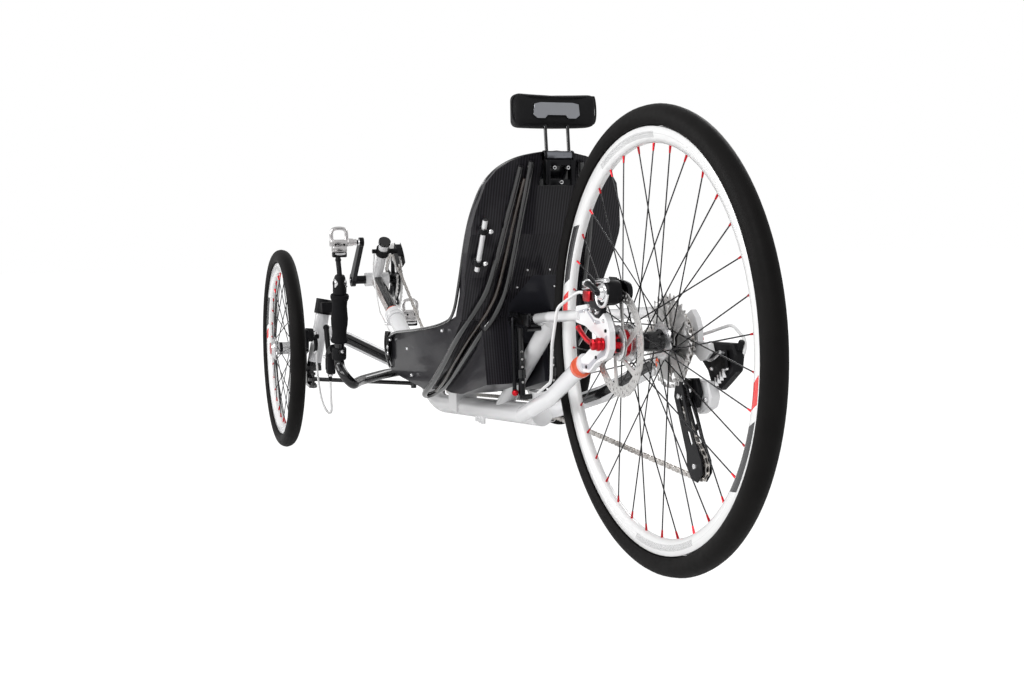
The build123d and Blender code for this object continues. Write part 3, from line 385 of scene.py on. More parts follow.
def soften(width, segments=2):
    """Breaks the sharp edges of the active object."""
    bpy.ops.object.modifier_add(type="BEVEL")
    bevel = bpy.context.object.modifiers[-1]
    bevel.width, bevel.segments, bevel.limit_method, bevel.angle_limit = width * MM, segments, "ANGLE", radians(40)
    bpy.ops.object.modifier_apply(modifier=bevel.name)


def linked(thing):
    bpy.context.collection.objects.link(thing)
    only(thing)
    return thing


def drawn(kind, lines, closed=False, **settings):
    """A curve with one spline for each list of places in metres."""
    curve = bpy.data.curves.new("line", "CURVE")
    for key, value in settings.items():
        setattr(curve, key, value)
    for places in lines:
        spline = curve.splines.new(kind)
        spline.points.add(len(places) - 1)
        for point, spot in zip(spline.points, places):
            point.co = (*spot, 1)
        if kind == "NURBS":
            spline.order_u, spline.use_endpoint_u = 3, True
        spline.use_cyclic_u = closed
    return linked(bpy.data.objects.new("line", curve))


def block(low, high, finish, edge=1.2):
    """Box between two corners in millimetres, with broken edges."""
    low, high = at(*low), at(*high)
    clear()
    bpy.ops.mesh.primitive_cube_add(size=1, location=(low + high) / 2)
    bpy.context.object.scale = [abs(h - l) for l, h in zip(low, high)]
    bpy.ops.object.transform_apply(location=True, rotation=True, scale=True)
    soften(edge)
    return settle(finish)


def bar(start, end, radius, finish, sides=24, end_radius=None, edge=0.6):
    """Bar or cone between two places in millimetres."""
    start, end = at(*start), at(*end)
    clear()
    run = end - start
    bpy.ops.mesh.primitive_cone_add(vertices=sides, radius1=radius * MM, depth=run.length, location=(start + end) / 2,
                                    radius2=(radius if end_radius is None else end_radius) * MM,
                                    rotation=run.to_track_quat("Z", "Y").to_euler())
    bpy.ops.object.transform_apply(location=True, rotation=True, scale=True)
    if edge:
        soften(edge)
    return settle(finish)


def ball(middle, radius, finish, squash=(1, 1, 1)):
    clear()
    bpy.ops.mesh.primitive_uv_sphere_add(segments=24, ring_count=14, radius=radius * MM, location=at(*middle))
    bpy.context.object.scale = squash
    return settle(finish)


def bent_bar(points, radius, finish, sides=6):
    """Bar along a curve that is drawn by a few places in millimetres, closed at its ends."""
    clear()
    drawn("NURBS", [[at(*spot) for spot in points]], dimensions="3D", bevel_depth=radius * MM,
          bevel_resolution=sides, use_fill_caps=True, resolution_u=10)
    return settle(finish, 60)


def leaning(centre, tilt):
    """Turns a piece that is made upright about its axle's middle, by the camber."""
    return Matrix.Translation(at(*centre)) @ Matrix.Rotation(radians(-tilt), 4, "Y")


def turned(profile, centre, finish, steps=64, tilt=0.0, smooth=35, closed=True):
    """Turns an outline of (x, radius) about an X axis through centre; tilt leans the axis by camber."""
    clear()
    drawn("POLY", [[(x * MM, 0, radius * MM) for x, radius in profile]], closed, dimensions="3D")
    bpy.ops.object.convert(target="MESH")
    edit_mesh((bpy.ops.mesh.spin, {"steps": steps, "angle": 2 * pi, "center": (0, 0, 0), "axis": (1, 0, 0)}),
              (bpy.ops.mesh.remove_doubles, {"threshold": 1e-6}),
              (bpy.ops.mesh.normals_make_consistent, {"inside": False}))
    return settle(finish, smooth, leaning(centre, tilt))


def turned_along(start, end, profile, finish, steps=32, smooth=40):
    """profile is (share of the way from start to end, radius); the ends are closed."""
    start, end = at(*start), at(*end)
    run = end - start
    length = run.length / MM
    shape = [(share * length, radius) for share, radius in profile]
    inner = [(profile[-1][0] * length, 0.02), (profile[0][0] * length, 0.02)]
    thing = turned(shape + inner, (0, -REAR_Y / MM, 0), finish, steps, 0.0, smooth)
    turn = run.to_track_quat("X", "Z").to_matrix().to_4x4()
    thing.data.transform(Matrix.Translation(start) @ turn)
    return thing


def cut_plate(outlines, low, high, centre, finish, tilt=0.0, edge=0.25):
    """Plate across X between low and high: the first outline of (y, z) is its edge, the others are holes."""
    clear()
    thick = (high - low) / 2
    drawn("POLY", [[(y * MM, z * MM, 0) for y, z in outline] for outline in outlines], True, dimensions="2D",
          fill_mode="BOTH", extrude=(thick - edge) * MM, bevel_depth=edge * MM, bevel_resolution=0, offset=-edge * MM)
    stand = Matrix(((0, 0, 1, (low + high) / 2 * MM), (1, 0, 0, 0), (0, 1, 0, 0), (0, 0, 0, 1)))
    return settle(finish, 30, leaning(centre, tilt) @ stand)


def hoop(radius, count=24, y=0.0, z=0.0):
    return [(y + radius * cos(2 * pi * n / count), z + radius * sin(2 * pi * n / count)) for n in range(count)]


def join(name, body, things, replaces=()):
    """Makes one piece of several and lets it ride on its body."""
    clear()
    for thing in things:
        thing.select_set(True)
    bpy.context.view_layer.objects.active = things[0]
    if len(things) > 1:
        bpy.ops.object.join()
    piece = bpy.context.object
    piece.name = name
    if body:
        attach(piece, body)
    if replaces:
        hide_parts(*replaces)
    print(name, len(piece.data.polygons), "faces")
    return piece


def other_side(piece, name, body, replaces=()):
    """A mirrored copy with its own mesh."""
    copy = linked(bpy.data.objects.new(name, piece.data.copy()))
    copy.data.transform(Matrix.Scale(-1, 4, (1, 0, 0)))
    edit_mesh((bpy.ops.mesh.flip_normals, {}))
    copy.name = name
    return join(name, body, [copy], replaces)


def pair(name, body, things, replaces=None, shared=None):
    """A left piece and its mirror image; * stands for the side. What is shared goes with the right one."""
    left = join("left_" + name, body.replace("*", "left"), things, ["left_" + replaces] if replaces else ())
    gone = ["right_" + replaces] if replaces else [shared] if shared else ()
    return left, other_side(left, "right_" + name, body.replace("*", "right"), gone)


# %% [markdown]
# ## Wheels
# A road tyre is almost a torus, a deep rim is a turned V with a flat brake side. Both are turned from one
# outline, which is how the real ones are rolled, so they stay perfectly round and light.

# %% Tyres
FRONT_Z = (FRONT_RADIUS - TYRE) * cos(radians(CAMBER)) + TYRE
REAR_AXLE = (0, 0, REAR_RADIUS)
LEFT_AXLE = (TRACK / 2, -WHEELBASE, FRONT_Z)
RIGHT_AXLE = (-TRACK / 2, -WHEELBASE, FRONT_Z)
FLATTER = 0.25  # mm


def tyre(radius, centre, tilt=0.0):
    """Round section, a little flatter beside the middle of the tread."""
    outline = []
    for turn in range(-142, 143, 12):
        reach = TYRE - (FLATTER if 2 < abs(turn) < 24 else 0)
        outline.append((reach * sin(radians(turn)), radius - TYRE + reach * cos(radians(turn))))
    return turned(outline, centre, TYRE_RUBBER, 120, tilt)


join("rear_tyre_cover", "rear_wheel", [tyre(REAR_RADIUS, REAR_AXLE)], ["rear_tyre"])
pair("front_tyre_cover", "*_front_wheel", [tyre(FRONT_RADIUS, LEFT_AXLE, CAMBER)], "front_tyre")


# %% [markdown]
# ## Rim finish
# The rim carries slanted blocks of black and red on white. They are drawn in the material from the angle
# and the radius about the axle, so they follow the hoop exactly and need no picture.

# %% Rim finish
BLACK_INK, RED_INK, GREY_INK = (0.02, 0.02, 0.022), (0.72, 0.03, 0.03), (0.16, 0.16, 0.17)


def rim_finish(name, centre, radius, blocks, marks):
    """blocks: (angle from, angle to, colour, slant); marks: (angle from, angle to) of fine grey hatching."""
    finish = Finish(name, Coat_Weight=0.5, Coat_Roughness=0.08)
    x, y, z, reach = finish.wheel_axes(centre)
    reach = reach * 1000
    turn = z.fn("ARCTAN2", y) * (180 / pi)
    inner, outer = radius - 55, radius - 33
    share = (reach - inner) * (1 / (outer - inner))
    band = (reach > inner + 4.5) * (reach < outer - 3)
    colour = (0.8, 0.8, 0.8)
    paint = mix(finish.tree, finish.noise(20, 4), shaded(colour, 0.94), colour)
    for low, high, ink, slant in blocks:
        lean = turn - share * slant
        paint = mix(finish.tree, (lean > low) * (lean < high) * band, paint, ink)
    for low, high in marks:
        strokes = ((turn * 40 + share * 9).fn("SINE") > 0.45) * (turn > low) * (turn < high)
        paint = mix(finish.tree, strokes * (share > 0.3) * (share < 0.72), paint, GREY_INK)
    return finish.surface(paint, finish.noise(70) * 0.1 + 0.2, finish.noise(800, 2), 0.03)


REAR_RIM_PAINT = rim_finish("rear_rim_paint", REAR_AXLE, REAR_RADIUS, [
    (143, 163, BLACK_INK, 4), (167, 174, RED_INK, 4), (-37, -17, BLACK_INK, 4), (-13, -6, RED_INK, 4)],
    [(84, 119), (-96, -62)])
FRONT_RIM_PAINT = rim_finish("front_rim_paint", LEFT_AXLE, FRONT_RADIUS, [
    (141, 165, BLACK_INK, 5), (168, 175, RED_INK, 5), (-39, -15, BLACK_INK, 5), (-12, -5, RED_INK, 5)],
    [(82, 120), (-98, -60)])
print(REAR_RIM_PAINT.name, FRONT_RIM_PAINT.name)

# %% [markdown]
# ## Rims
# The section is deep, with hooked edges over the tyre's bead, a flat brake side and a rounded spoke bed.

# %% Rims
RIM_DEPTH = 24


def rim_foot(radius):
    """Radius of the spoke bed."""
    return radius - 2 * TYRE + 2.9 - RIM_DEPTH


def rim(radius, centre, finish, tilt=0.0):
    foot = rim_foot(radius)
    lip = foot + RIM_DEPTH
    half = [(7.6, lip - 2.2), (8.4, lip), (9.4, lip + 0.3), (10, lip - 0.8), (10, lip - 9.5), (9.5, lip - 10.2),
            (9.6, lip - 11), (8.4, foot + 7), (6.2, foot + 3), (3.4, foot + 0.6), (0, foot)]
    return turned(half + [(-x, r) for x, r in half[-2::-1]], centre, finish, 120, tilt)


join("rear_rim_hoop", "rear_wheel", [rim(REAR_RADIUS, REAR_AXLE, REAR_RIM_PAINT)], ["rear_rim"])
pair("front_rim_hoop", "*_front_wheel", [rim(FRONT_RADIUS, LEFT_AXLE, FRONT_RIM_PAINT, CAMBER)], "front_rim")


# %% [markdown]
# ## Spoke nipples
# Nipples hold the spokes in the rim. Each is a small red cone on its spoke, so it needs the same hole
# pattern as the wheel: in turn from the left and right flange, leading and trailing.

# %% Spoke nipples
FIRST_SPOKE = 7.0  # angle of the first hole


def lean_all(things, centre, tilt):
    """Leans finished parts with a cambered wheel."""
    lean = leaning(centre, tilt) @ Matrix.Translation(-at(*centre))
    for thing in things:
        thing.data.transform(lean)
    return things


def nipples(radius, count, flange_x, flange_radius, cross, centre, tilt=0.0):
    end, middle, things = rim_foot(radius), Vector(centre), []
    for number in range(count):
        lead = cross if (number // 2) % 2 else -cross
        outer = radians(FIRST_SPOKE + 360.0 / count * number)
        inner = outer + radians(lead)
        start = Vector((flange_x[number % 2], flange_radius * cos(inner), flange_radius * sin(inner)))
        hole = Vector((0, end * cos(outer), end * sin(outer)))
        along = (start - hole).normalized()
        things.append(bar(middle + hole - along * 0.5, middle + hole + along * 11, 2.0, RED, 8, 1.4, 0))
    return lean_all(things, centre, tilt)


join("rear_nipples", "rear_wheel", nipples(REAR_RADIUS, 36, (34, -20), 24, 66, REAR_AXLE))
pair("front_nipples", "*_front_wheel", nipples(FRONT_RADIUS, 32, (20, -20), 20, 60, LEFT_AXLE, CAMBER))


# %% [markdown]
# ## Hub and spoke finish
# The hub and its spokes are one piece, so one material tells them apart: black wire away from the axle,
# and bands of silver, black and red along the hub.

# %% Hub and spoke finish
HUB_REACH, WIRE = 29, (0.035, 0.035, 0.037)
SILVER = (0.72, 0.72, 0.73)


def hub_finish(name, centre, zones, shell):
    """zones: (x from, x to, colour) along the axle, in millimetres from its middle."""
    finish = Finish(name, Metallic=1.0)
    x, y, z, reach = finish.wheel_axes(centre)
    along, reach, colour = x * 1000, reach * 1000, shell
    for low, high, band in zones:
        colour = mix(finish.tree, (along > low) * (along < high), colour, band)
    grain = finish.noise(500, 3)
    return finish.surface(mix(finish.tree, reach < HUB_REACH, WIRE, colour), grain * 0.2 + 0.18, grain, 0.05, 0.0002)


dress(hub_finish("rear_hub", REAR_AXLE, [(28, 40, SILVER), (-27, -14, SILVER), (40, 52, (0.5, 0.02, 0.03))],
                 BLACK_INK), "rear_hub_and_spokes")
for name, centre, sign in (("left", LEFT_AXLE, 1), ("right", RIGHT_AXLE, -1)):
    black, red = sorted((sign * 2, sign * 9)), sorted((sign * 29.2, sign * 34))
    dress(hub_finish(name + "_front_hub", centre, [(*black, BLACK_INK), (*red, (0.6, 0.02, 0.03))], SILVER),
          name + "_front_hub_and_spokes")


# %% [markdown]
# ## Brake discs
# A disc is a thin steel plate with windows and rows of small holes that shed heat and dust. It is cut
# from outlines, because every edge of it is a straight cut through the sheet.

# %% Brake discs
DISC, EDGE_CORNERS, ARMS = 80, 144, 6  # the first is the radius (mm)


def polar(reach, turn):
    return reach * cos(turn), reach * sin(turn)


def disc_outlines(bore):
    edge = [polar(DISC - (0.9 if n % 6 in (0, 1) else 0), 2 * pi * n / EDGE_CORNERS)
            for n in range(EDGE_CORNERS)]
    outlines = [edge]
    for arm in range(ARMS):
        low, wide = radians(60 * arm + 5), radians(50)
        window = [polar(64, low + wide * share + radians(22)) for share in (0, 0.33, 0.67, 1)]
        window += [polar(bore + 10, low + radians(3) + (wide - radians(6)) * share) for share in (1, 0.5, 0)]
        outlines.append(window)
    for row, (reach, size) in enumerate(((67.5, 2.0), (72.2, 2.2), (76.6, 1.7))):
        outlines += [hoop(size, 8, *polar(reach, 2 * pi * (n + row * 0.34) / 30)) for n in range(30)]
    return outlines + [hoop(bore)]


def disc_bolts(x, reach, centre, tilt=0.0, side=1):
    things = []
    for n in range(6):
        y, z = polar(reach, pi * n / 3)
        start = (centre[0] + x, centre[1] + y, centre[2] + z)
        things.append(bar(start, (start[0] + 2.6 * side, *start[1:]), 3.4, CHROME, 12, 2.8, 0.3))
    return lean_all(things, centre, tilt)


def brushed_disc(name, centre):
    """Steel ground in circles: the grain follows the radius from the axle."""
    finish = Finish(name, Metallic=1.0)
    x, y, z, reach = finish.wheel_axes(centre)
    wear = (reach * 14000).fn("SINE") * 0.5 + 0.5
    cloud = finish.noise(40, 4)
    return finish.surface(mix(finish.tree, cloud, (0.55, 0.54, 0.53), (0.72, 0.71, 0.7)),
                          wear * 0.12 + cloud * 0.15 + 0.2, wear, 0.08, 0.0002)


carrier = turned([(52.2, 12), (52.2, 24), (53.6, 26), (55, 24), (56, 14), (66, 13), (66, 10), (52.2, 10)], REAR_AXLE,
                 ALLOY, 32)
disc = cut_plate(disc_outlines(17), 50, 52, REAR_AXLE, brushed_disc("rear_disc_steel", REAR_AXLE))
join("rear_brake_disc", "rear_wheel", [disc, carrier] + disc_bolts(53, 21, REAR_AXLE), ["rear_brake_rotor"])
disc = cut_plate(disc_outlines(10), -34, -32, LEFT_AXLE, brushed_disc("front_disc_steel", LEFT_AXLE), CAMBER)
discs = pair("front_brake_disc", "*_front_wheel", [disc] + disc_bolts(-34.2, 19, LEFT_AXLE, CAMBER, -1),
             "front_brake_rotor")
discs[1].data.materials[0] = brushed_disc("right_disc_steel", RIGHT_AXLE)


# %% [markdown]
# ## Sprockets
# The teeth decide how a drivetrain looks, so each sprocket is cut from its true pitch circle: the chain's
# pitch divided by twice the sine of half a tooth's angle. Windows make the plates as light as real ones.

# %% Cassette
PITCH, CHAIN_X, SPROCKET_STEP = 12.7, -46.8, 4.2
SPROCKETS = (34, 30, 26, 23, 20, 17, 15, 13, 11)
TOOTH, ROOT = 2.6, 3.6  # how far teeth rise over the pitch circle, and how deep the seats between them are


def pitch_radius(teeth):
    return PITCH / (2 * sin(pi / teeth))


def toothed(teeth):
    """Outline of a sprocket: narrow rounded teeth and half-round seats between them."""
    shape = ((-0.30, -ROOT), (-0.16, -0.6), (-0.06, TOOTH), (0.06, TOOTH), (0.16, -0.6), (0.30, -ROOT))
    return [polar(pitch_radius(teeth) + reach, 2 * pi * (n + share) / teeth) for n in range(teeth)
            for share, reach in shape]


def ring_windows(count, low, high, wide, lean):
    windows = []
    for n in range(count):
        middle = 2 * pi * n / count
        window = [polar(high, middle + wide * share + lean) for share in (-1, -0.33, 0.33, 1)]
        windows.append(window + [polar(low, middle + wide * share * 0.8) for share in (1, 0, -1)])
    return windows


stack = []
for number, teeth in enumerate(SPROCKETS):
    x = CHAIN_X - SPROCKET_STEP * (number - 4)
    outlines = [toothed(teeth)]
    if teeth > 19:
        outlines += ring_windows(6, 20, pitch_radius(teeth) - 8.5, 0.34, 0.25)
        outlines += [hoop(1.7, 6, *polar(pitch_radius(teeth) - 5.6, pi * n / 8)) for n in range(16)]
    outlines.append(hoop(15.5, 20))
    stack.append(cut_plate(outlines, x - 0.9, x + 0.9, REAR_AXLE, STEEL))
stack.append(turned([(-64, 14), (-64, 17), (-63, 18.4), (-26, 18.4), (-26, 14)], REAR_AXLE, DARK, 32))
join("cassette_sprockets", "rear_wheel", stack, ["cassette"])

# %% [markdown]
# ## Chain line
# A chain runs straight between the circles that it passes. The line is worked out as tangents and arcs,
# and then cut into equal steps of one pitch for the links' pins.

# %% Chain line
FRONT_Y = -WHEELBASE
AXLE_Y, AXLE_Z = FRONT_Y - 486, 377.0
CRANK_AXLE = (0, AXLE_Y, AXLE_Z)
LOOP = [  # y, z and radius of each circle, and the side that the chain passes it on
    (AXLE_Y, AXLE_Z, pitch_radius(34), 1), (FRONT_Y + 59, 130.0, 18.0, -1), (-545.0, 192.0, 12.0, -1),
    (0.0, 346.0, pitch_radius(20), 1), (18.0, 264.0, 20.0, -1), (65.0, 167.0, 20.0, 1),
    (-470.0, 96.0, 60.0, -1), (FRONT_Y + 59, 84.0, 14.0, 1)]
FINE_STEP = 0.5


def leaving(first, second):
    """Points where the chain leaves one circle and meets the next."""
    across, rise = second[0] - first[0], second[1] - first[1]
    run = atan2(rise, across) - asin((first[2] * first[3] - second[2] * second[3]) / hypot(rise, across))
    left = (-sin(run), cos(run))
    return [tuple(circle[axis] + left[axis] * circle[2] * circle[3] for axis in (0, 1)) for circle in (first, second)]


def chain_line():
    """The chain's closed line as evenly spaced places."""
    runs = [leaving(LOOP[n], LOOP[(n + 1) % len(LOOP)]) for n in range(len(LOOP))]
    line = []
    for number, (start, end) in enumerate(runs):
        count = max(2, int(hypot(end[0] - start[0], end[1] - start[1]) / FINE_STEP))
        line += [(start[0] + (end[0] - start[0]) * n / count, start[1] + (end[1] - start[1]) * n / count)
                 for n in range(count)]
        y, z, radius, way = LOOP[(number + 1) % len(LOOP)]
        leave = runs[(number + 1) % len(runs)][0]
        first, last = (atan2(spot[1] - z, spot[0] - y) for spot in (end, leave))
        turn = -((first - last) % (2 * pi)) if way > 0 else (last - first) % (2 * pi)
        count = max(2, int(abs(turn) * radius / FINE_STEP))
        line += [(y + radius * cos(first + turn * n / count), z + radius * sin(first + turn * n / count))
                 for n in range(count)]
    return line


line = chain_line()
lengths = [0.0]
for n in range(1, len(line) + 1):
    here, before = line[n % len(line)], line[n - 1]
    lengths.append(lengths[-1] + hypot(here[0] - before[0], here[1] - before[1]))
pitches = 2 * round(lengths[-1] / PITCH / 2)
joints, spot = [], 0
for n in range(pitches):
    while lengths[spot + 1] < lengths[-1] * n / pitches:
        spot += 1
    joints.append(line[spot])
print("chain", pitches, "pitches over", round(lengths[-1]), "mm")


# %% [markdown]
# ## Chain links
# Links with narrow and wide plates take turns. Each has two waisted plates and the roller at its first pin.

# %% Chain links
EYE_RADIUS, WAIST, ROLLER, PLATE = 3.9, 2.9, 2.3, 0.8


def link_shape(narrow):
    """Corners and faces of one link along +Y from the origin."""
    outline = [polar(EYE_RADIUS, pi / 2 + pi * n / 6) for n in range(7)] + [(PITCH / 2, -WAIST)]
    outline += [(PITCH - y, -z) for y, z in outline[:8]]
    reach, wide = (1.5, 1.6) if narrow else (2.4, 3.4)
    corners = [(x, y, z) for x in (-reach - PLATE, -reach, reach, reach + PLATE) for y, z in outline]
    count, faces = len(outline), []
    for side in (0, 2):
        low, high = side * count, (side + 1) * count
        faces.append([low + n for n in range(count)][::-1])
        faces.append([high + n for n in range(count)])
        faces += [[low + n, low + (n + 1) % count, high + (n + 1) % count, high + n] for n in range(count)]
    base = len(corners)
    corners += [(x, *polar(ROLLER, pi * n / 4)) for x in (-wide, wide) for n in range(8)]
    faces += [[base + n, base + (n + 1) % 8, base + 8 + (n + 1) % 8, base + 8 + n] for n in range(8)]
    return [Vector(corner) * MM for corner in corners], faces


corners, faces = [], []
for n in range(pitches):
    here, there = joints[n], joints[(n + 1) % pitches]
    turn = Matrix.Rotation(atan2(there[1] - here[1], there[0] - here[0]), 4, "X")
    move = Matrix.Translation(at(CHAIN_X, *here)) @ turn
    shape, sides = link_shape(n % 2 == 0)
    faces += [[len(corners) + corner for corner in side] for side in sides]
    corners += [move @ corner for corner in shape]
links = bpy.data.meshes.new("links")
links.from_pydata(corners, [], faces)
links.validate()
links.materials.append(metal("chain_steel", (0.74, 0.71, 0.68), 0.32, 900))
chain = linked(bpy.data.objects.new("links", links))
edit_mesh((bpy.ops.mesh.normals_make_consistent, {"inside": False}))
join("chain_links", "frame", [chain], ["chain"])

# %% [markdown]
# ## Chainrings
# Two rings sit on a spider of five tapered arms, with one bolt through each arm.

# %% Chainrings
RING_TEETH, INNER_TEETH, SPIDER_ARMS = 50, 34, 5
rings = [
    cut_plate([toothed(RING_TEETH), hoop(83, 60)], -53.2, -50.8, CRANK_AXLE, STEEL),
    cut_plate([toothed(INNER_TEETH), hoop(54, 48)], CHAIN_X - 1.2, CHAIN_X + 1.2, CRANK_AXLE, STEEL),
]


def by_crank(x, reach, turn):
    y, z = polar(reach, turn)
    return x, AXLE_Y + y, AXLE_Z + z


for n in range(SPIDER_ARMS):
    turn = 2 * pi * n / SPIDER_ARMS + 0.3
    rings.append(bar(by_crank(-49.5, 16, turn), by_crank(-49.5, 88, turn), 6.5, DARK, 12, 4.5, 0.8))
    rings.append(bar(by_crank(-55.5, 80, turn), by_crank(-45, 80, turn), 4, CHROME, 12))
rings.append(turned([(-58, 0), (-58, 17), (-56, 20), (-44, 20), (-42, 17), (-42, 0)], CRANK_AXLE, DARK, 32,
                    closed=False))
join("chainring_set", "cranks", rings, ["chainrings"])


# %% [markdown]
# ## Brake hoses
# A hose leaves each lever, hangs in a loop beside the wheel and returns to the caliper. The line is a
# curve through a few places, and the hose is that curve with thickness.

# %% Brake hoses
CORD = [(279, -1040, 178.2), (279, -1040, 140), (270, -1078, 101), (272, -1120, 92), (279, -1156, 116),
        (282, -1178, 165), (282, -1190, 216), (282, -1188, 268)]
for side, word in ((1, "left"), (-1, "right")):
    line = drawn("NURBS", [[at(side * x, y, z) for x, y, z in CORD]], dimensions="3D", resolution_u=24)
    path = [tuple(corner.co) for corner in bpy.data.meshes.new_from_object(line).vertices]
    line.data.bevel_depth, line.data.bevel_resolution, line.data.use_fill_caps = 2.5 * MM, 4, True
    only(line)
    piece = settle(WHITE_SHEATH, 60)
    piece.name = word + "_brake_hose"
    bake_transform(piece)
    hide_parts(word + "_brake_cable")


# %% [markdown]
# ## Headrest pad
# The pad is foam in stretched cloth. A block of its size is filled with a little pressure, which rounds
# it the way a stuffed cover is rounded. The pressure may move each place by 3 mm at most.

# %% Headrest pad
PAD_HALF, FRAMES, MOST = 0.076, 20, 0.003  # m, frames of cloth, m
clear()
pad_at = at(0, -371, 719)
bpy.ops.mesh.primitive_cube_add(size=1, location=pad_at)
pad = bpy.context.object
pad.scale = (2 * PAD_HALF, 0.036, 0.055)
bpy.ops.object.transform_apply(location=True, rotation=True, scale=True)
edit_mesh((bpy.ops.mesh.subdivide, {"number_cuts": 3}))
for corner in pad.data.vertices:
    aside = (corner.co.x - pad_at.x) / PAD_HALF
    corner.co.y -= 0.006 * (1 - aside * aside) - 0.003
    corner.co.z += 0.003 * aside * aside if corner.co.z > pad_at.z else -0.001 * aside
soften(9, 4)
bpy.ops.object.modifier_add(type="REMESH")
remesh = pad.modifiers[-1]
remesh.mode, remesh.voxel_size = "VOXEL", 0.005
bpy.ops.object.modifier_apply(modifier=remesh.name)
bpy.ops.object.modifier_add(type="CLOTH")
stuffing = pad.modifiers[-1]
stuffing.settings.use_pressure, stuffing.settings.uniform_pressure_force = True, 4
stuffing.settings.effector_weights.gravity = 0
stuffing.point_cache.frame_start, stuffing.point_cache.frame_end = 1, FRAMES
before = [corner.co.copy() for corner in pad.data.vertices]
for moment in range(1, FRAMES + 1):
    bpy.context.scene.frame_set(moment)
bpy.ops.object.modifier_apply(modifier=stuffing.name)
bpy.context.scene.frame_set(1)
for corner, old in zip(pad.data.vertices, before):
    shift = corner.co - old
    corner.co = old + shift * min(1, MOST / max(shift.length, 1e-9))
bpy.ops.object.modifier_add(type="SUBSURF")
pad.modifiers[-1].levels = 1
bpy.ops.object.modifier_apply(modifier=pad.modifiers[-1].name)
join("headrest_cushion", "frame", [settle(PAD_CLOTH, 60)], ["headrest_pad"])


# %% [markdown]
# ## Piping and reflector
# The seam of the pad is a thin bar round its back, and a flat reflector sits on the pad's back.

# %% Headrest piping and reflector
join("headrest_piping", "frame", [bent_bar(
    [(-74, -357, 745), (-40, -354, 743), (0, -355, 742), (40, -354, 743), (74, -357, 745), (79, -362, 738),
     (79, -360, 706), (70, -356, 694), (0, -353, 692), (-70, -356, 694), (-79, -360, 706), (-79, -362, 738),
     (-74, -357, 745)], 1.6, PLASTIC)])
half = [(30, 732.5), (41, 730), (43, 712), (36, 706.5), (22, 706.5), (17, 712)]
outline = [(-x, z) for x, z in half[1::-1]] + half + [(-x, z) for x, z in half[:1:-1]]
clear()
drawn("POLY", [[(x * MM, z * MM, 0) for x, z in outline]], True, dimensions="2D", fill_mode="BOTH",
      extrude=0.8 * MM, bevel_depth=0.5 * MM)
stand = Matrix(((1, 0, 0, 0), (0, 0, -1, at(0, -350.5, 0).y), (0, 1, 0, 0), (0, 0, 0, 1)))
join("headrest_reflector", "frame", [settle(metal("reflector_grey", (0.42, 0.43, 0.46), 0.35, 1500), 30, stand)])

# %% [markdown]
# ## Seat ridges
# Two moulded ridges on each side run down the back and sweep out into the base, where they meet in a
# loop. They are rounded bars sunk into the shell, so that light runs along them in long clean lines.

# %% Seat ridges
RIDGE_CARBON = gloss("ridge_carbon", (0.005, 0.005, 0.006), 0.1, 0.03, 0.9)
# The channel between the ridges is a real groove, drawn as a thin bar; its copper-brown colour is a painted highlight
# for the warm lines of light along it.
CHANNEL_HIGHLIGHT_CARBON = gloss("channel_painted_highlight", (0.035, 0.024, 0.018), 0.14, 0.05, 0.9)
RIDGE = [(63, -364, 626), (70, -380, 580), (78, -394, 540), (85, -426, 474), (92, -464, 410), (106, -486, 376),
         (119, -500, 350), (129, -546, 312), (131, -641, 248), (131, -720, 204), (130, -782, 178), (118, -812, 168),
         (105, -806, 171), (100, -780, 180), (99, -729, 197), (99, -656, 233), (99, -571, 281), (98, -527, 306),
         (90, -501, 331), (76, -496, 348), (64, -480, 378), (57, -462, 408), (54, -430, 472), (53, -394, 540),
         (48, -368, 600), (45, -360, 634)]
CHANNEL = [(115, -745, 186), (114, -690, 210), (114, -641, 243), (107, -556, 303), (95, -497, 348),
           (82, -483, 376), (74, -466, 404), (70, -430, 468), (66, -396, 535), (56, -366, 604)]


def moved(points, x, y, z):
    return [(spot[0] + x, spot[1] + y, spot[2] + z) for spot in points]


pair("seat_ridges", "frame", [bent_bar(moved(RIDGE, 2.2, 3.7, -2.4), 6.2, RIDGE_CARBON, 5),
                              bent_bar(moved(CHANNEL, 0.6, 2.0, -1.0), 3.6, CHANNEL_HIGHLIGHT_CARBON, 4)])

# %% [markdown]
# ## Seat edge
# A thin bead closes the edge of the shell, from the front lip over the top and down the other side. Small
# screws hold the shell to its brackets.

# %% Seat edge and screws
EDGE = [(-125, -1066, 240), (-141, -1052, 262), (-142, -1000, 287), (-142, -870, 300), (-142, -710, 318),
        (-141, -600, 335), (-139, -535, 352), (-141, -484, 428), (-143, -446, 490), (-141, -424, 530),
        (-135, -410, 560), (-127, -394, 590), (-108, -382, 616), (-84, -373, 632), (-56, -367, 642), (0, -362, 650)]
FRONT_EDGE = [(-141, -1055, 250), (-128, -1069, 240), (-90, -1071, 236)]


def both_ways(points, last):
    """The points, and their mirror images back from the last one."""
    return points + [(-x, y, z) for x, y, z in points[last::-1]]


screws = []
for x, y, z in ((140, -868, 262), (140, -838, 208), (140, -1020, 268), (140, -600, 322)):
    for side in (1, -1):
        screws.append(bar((side * x, y, z), (side * (x + 5.5), y, z), 3.6, CHROME, 14, 2.8, 0.4))
for side in (1, -1):
    screws.append(bent_bar([(side * 139, -1053, 284), (side * 142, -1056, 262), (side * 141, -1052, 232),
                            (side * 136, -1038, 204)], 7.0, RIDGE_CARBON, 5))
    screws.append(block((side * 143.2, -1044, 222), (side * 145.4, -1026, 274), PLASTIC, 1))
    for z in (236, 250):
        screws.append(ball((side * 145, -1035, z), 5.4, CHROME, (0.5, 1, 1)))
join("seat_edge", "frame", [bent_bar(both_ways(EDGE, -2), 3.0, RIDGE_CARBON, 4),
                            bent_bar(both_ways(FRONT_EDGE, -1), 4.5, RIDGE_CARBON, 4)] + screws)

# %% [markdown]
# ## Headrest clamp
# The headrest's two wires are held by a grey tube with dark end rings, in a small frame with three screws.

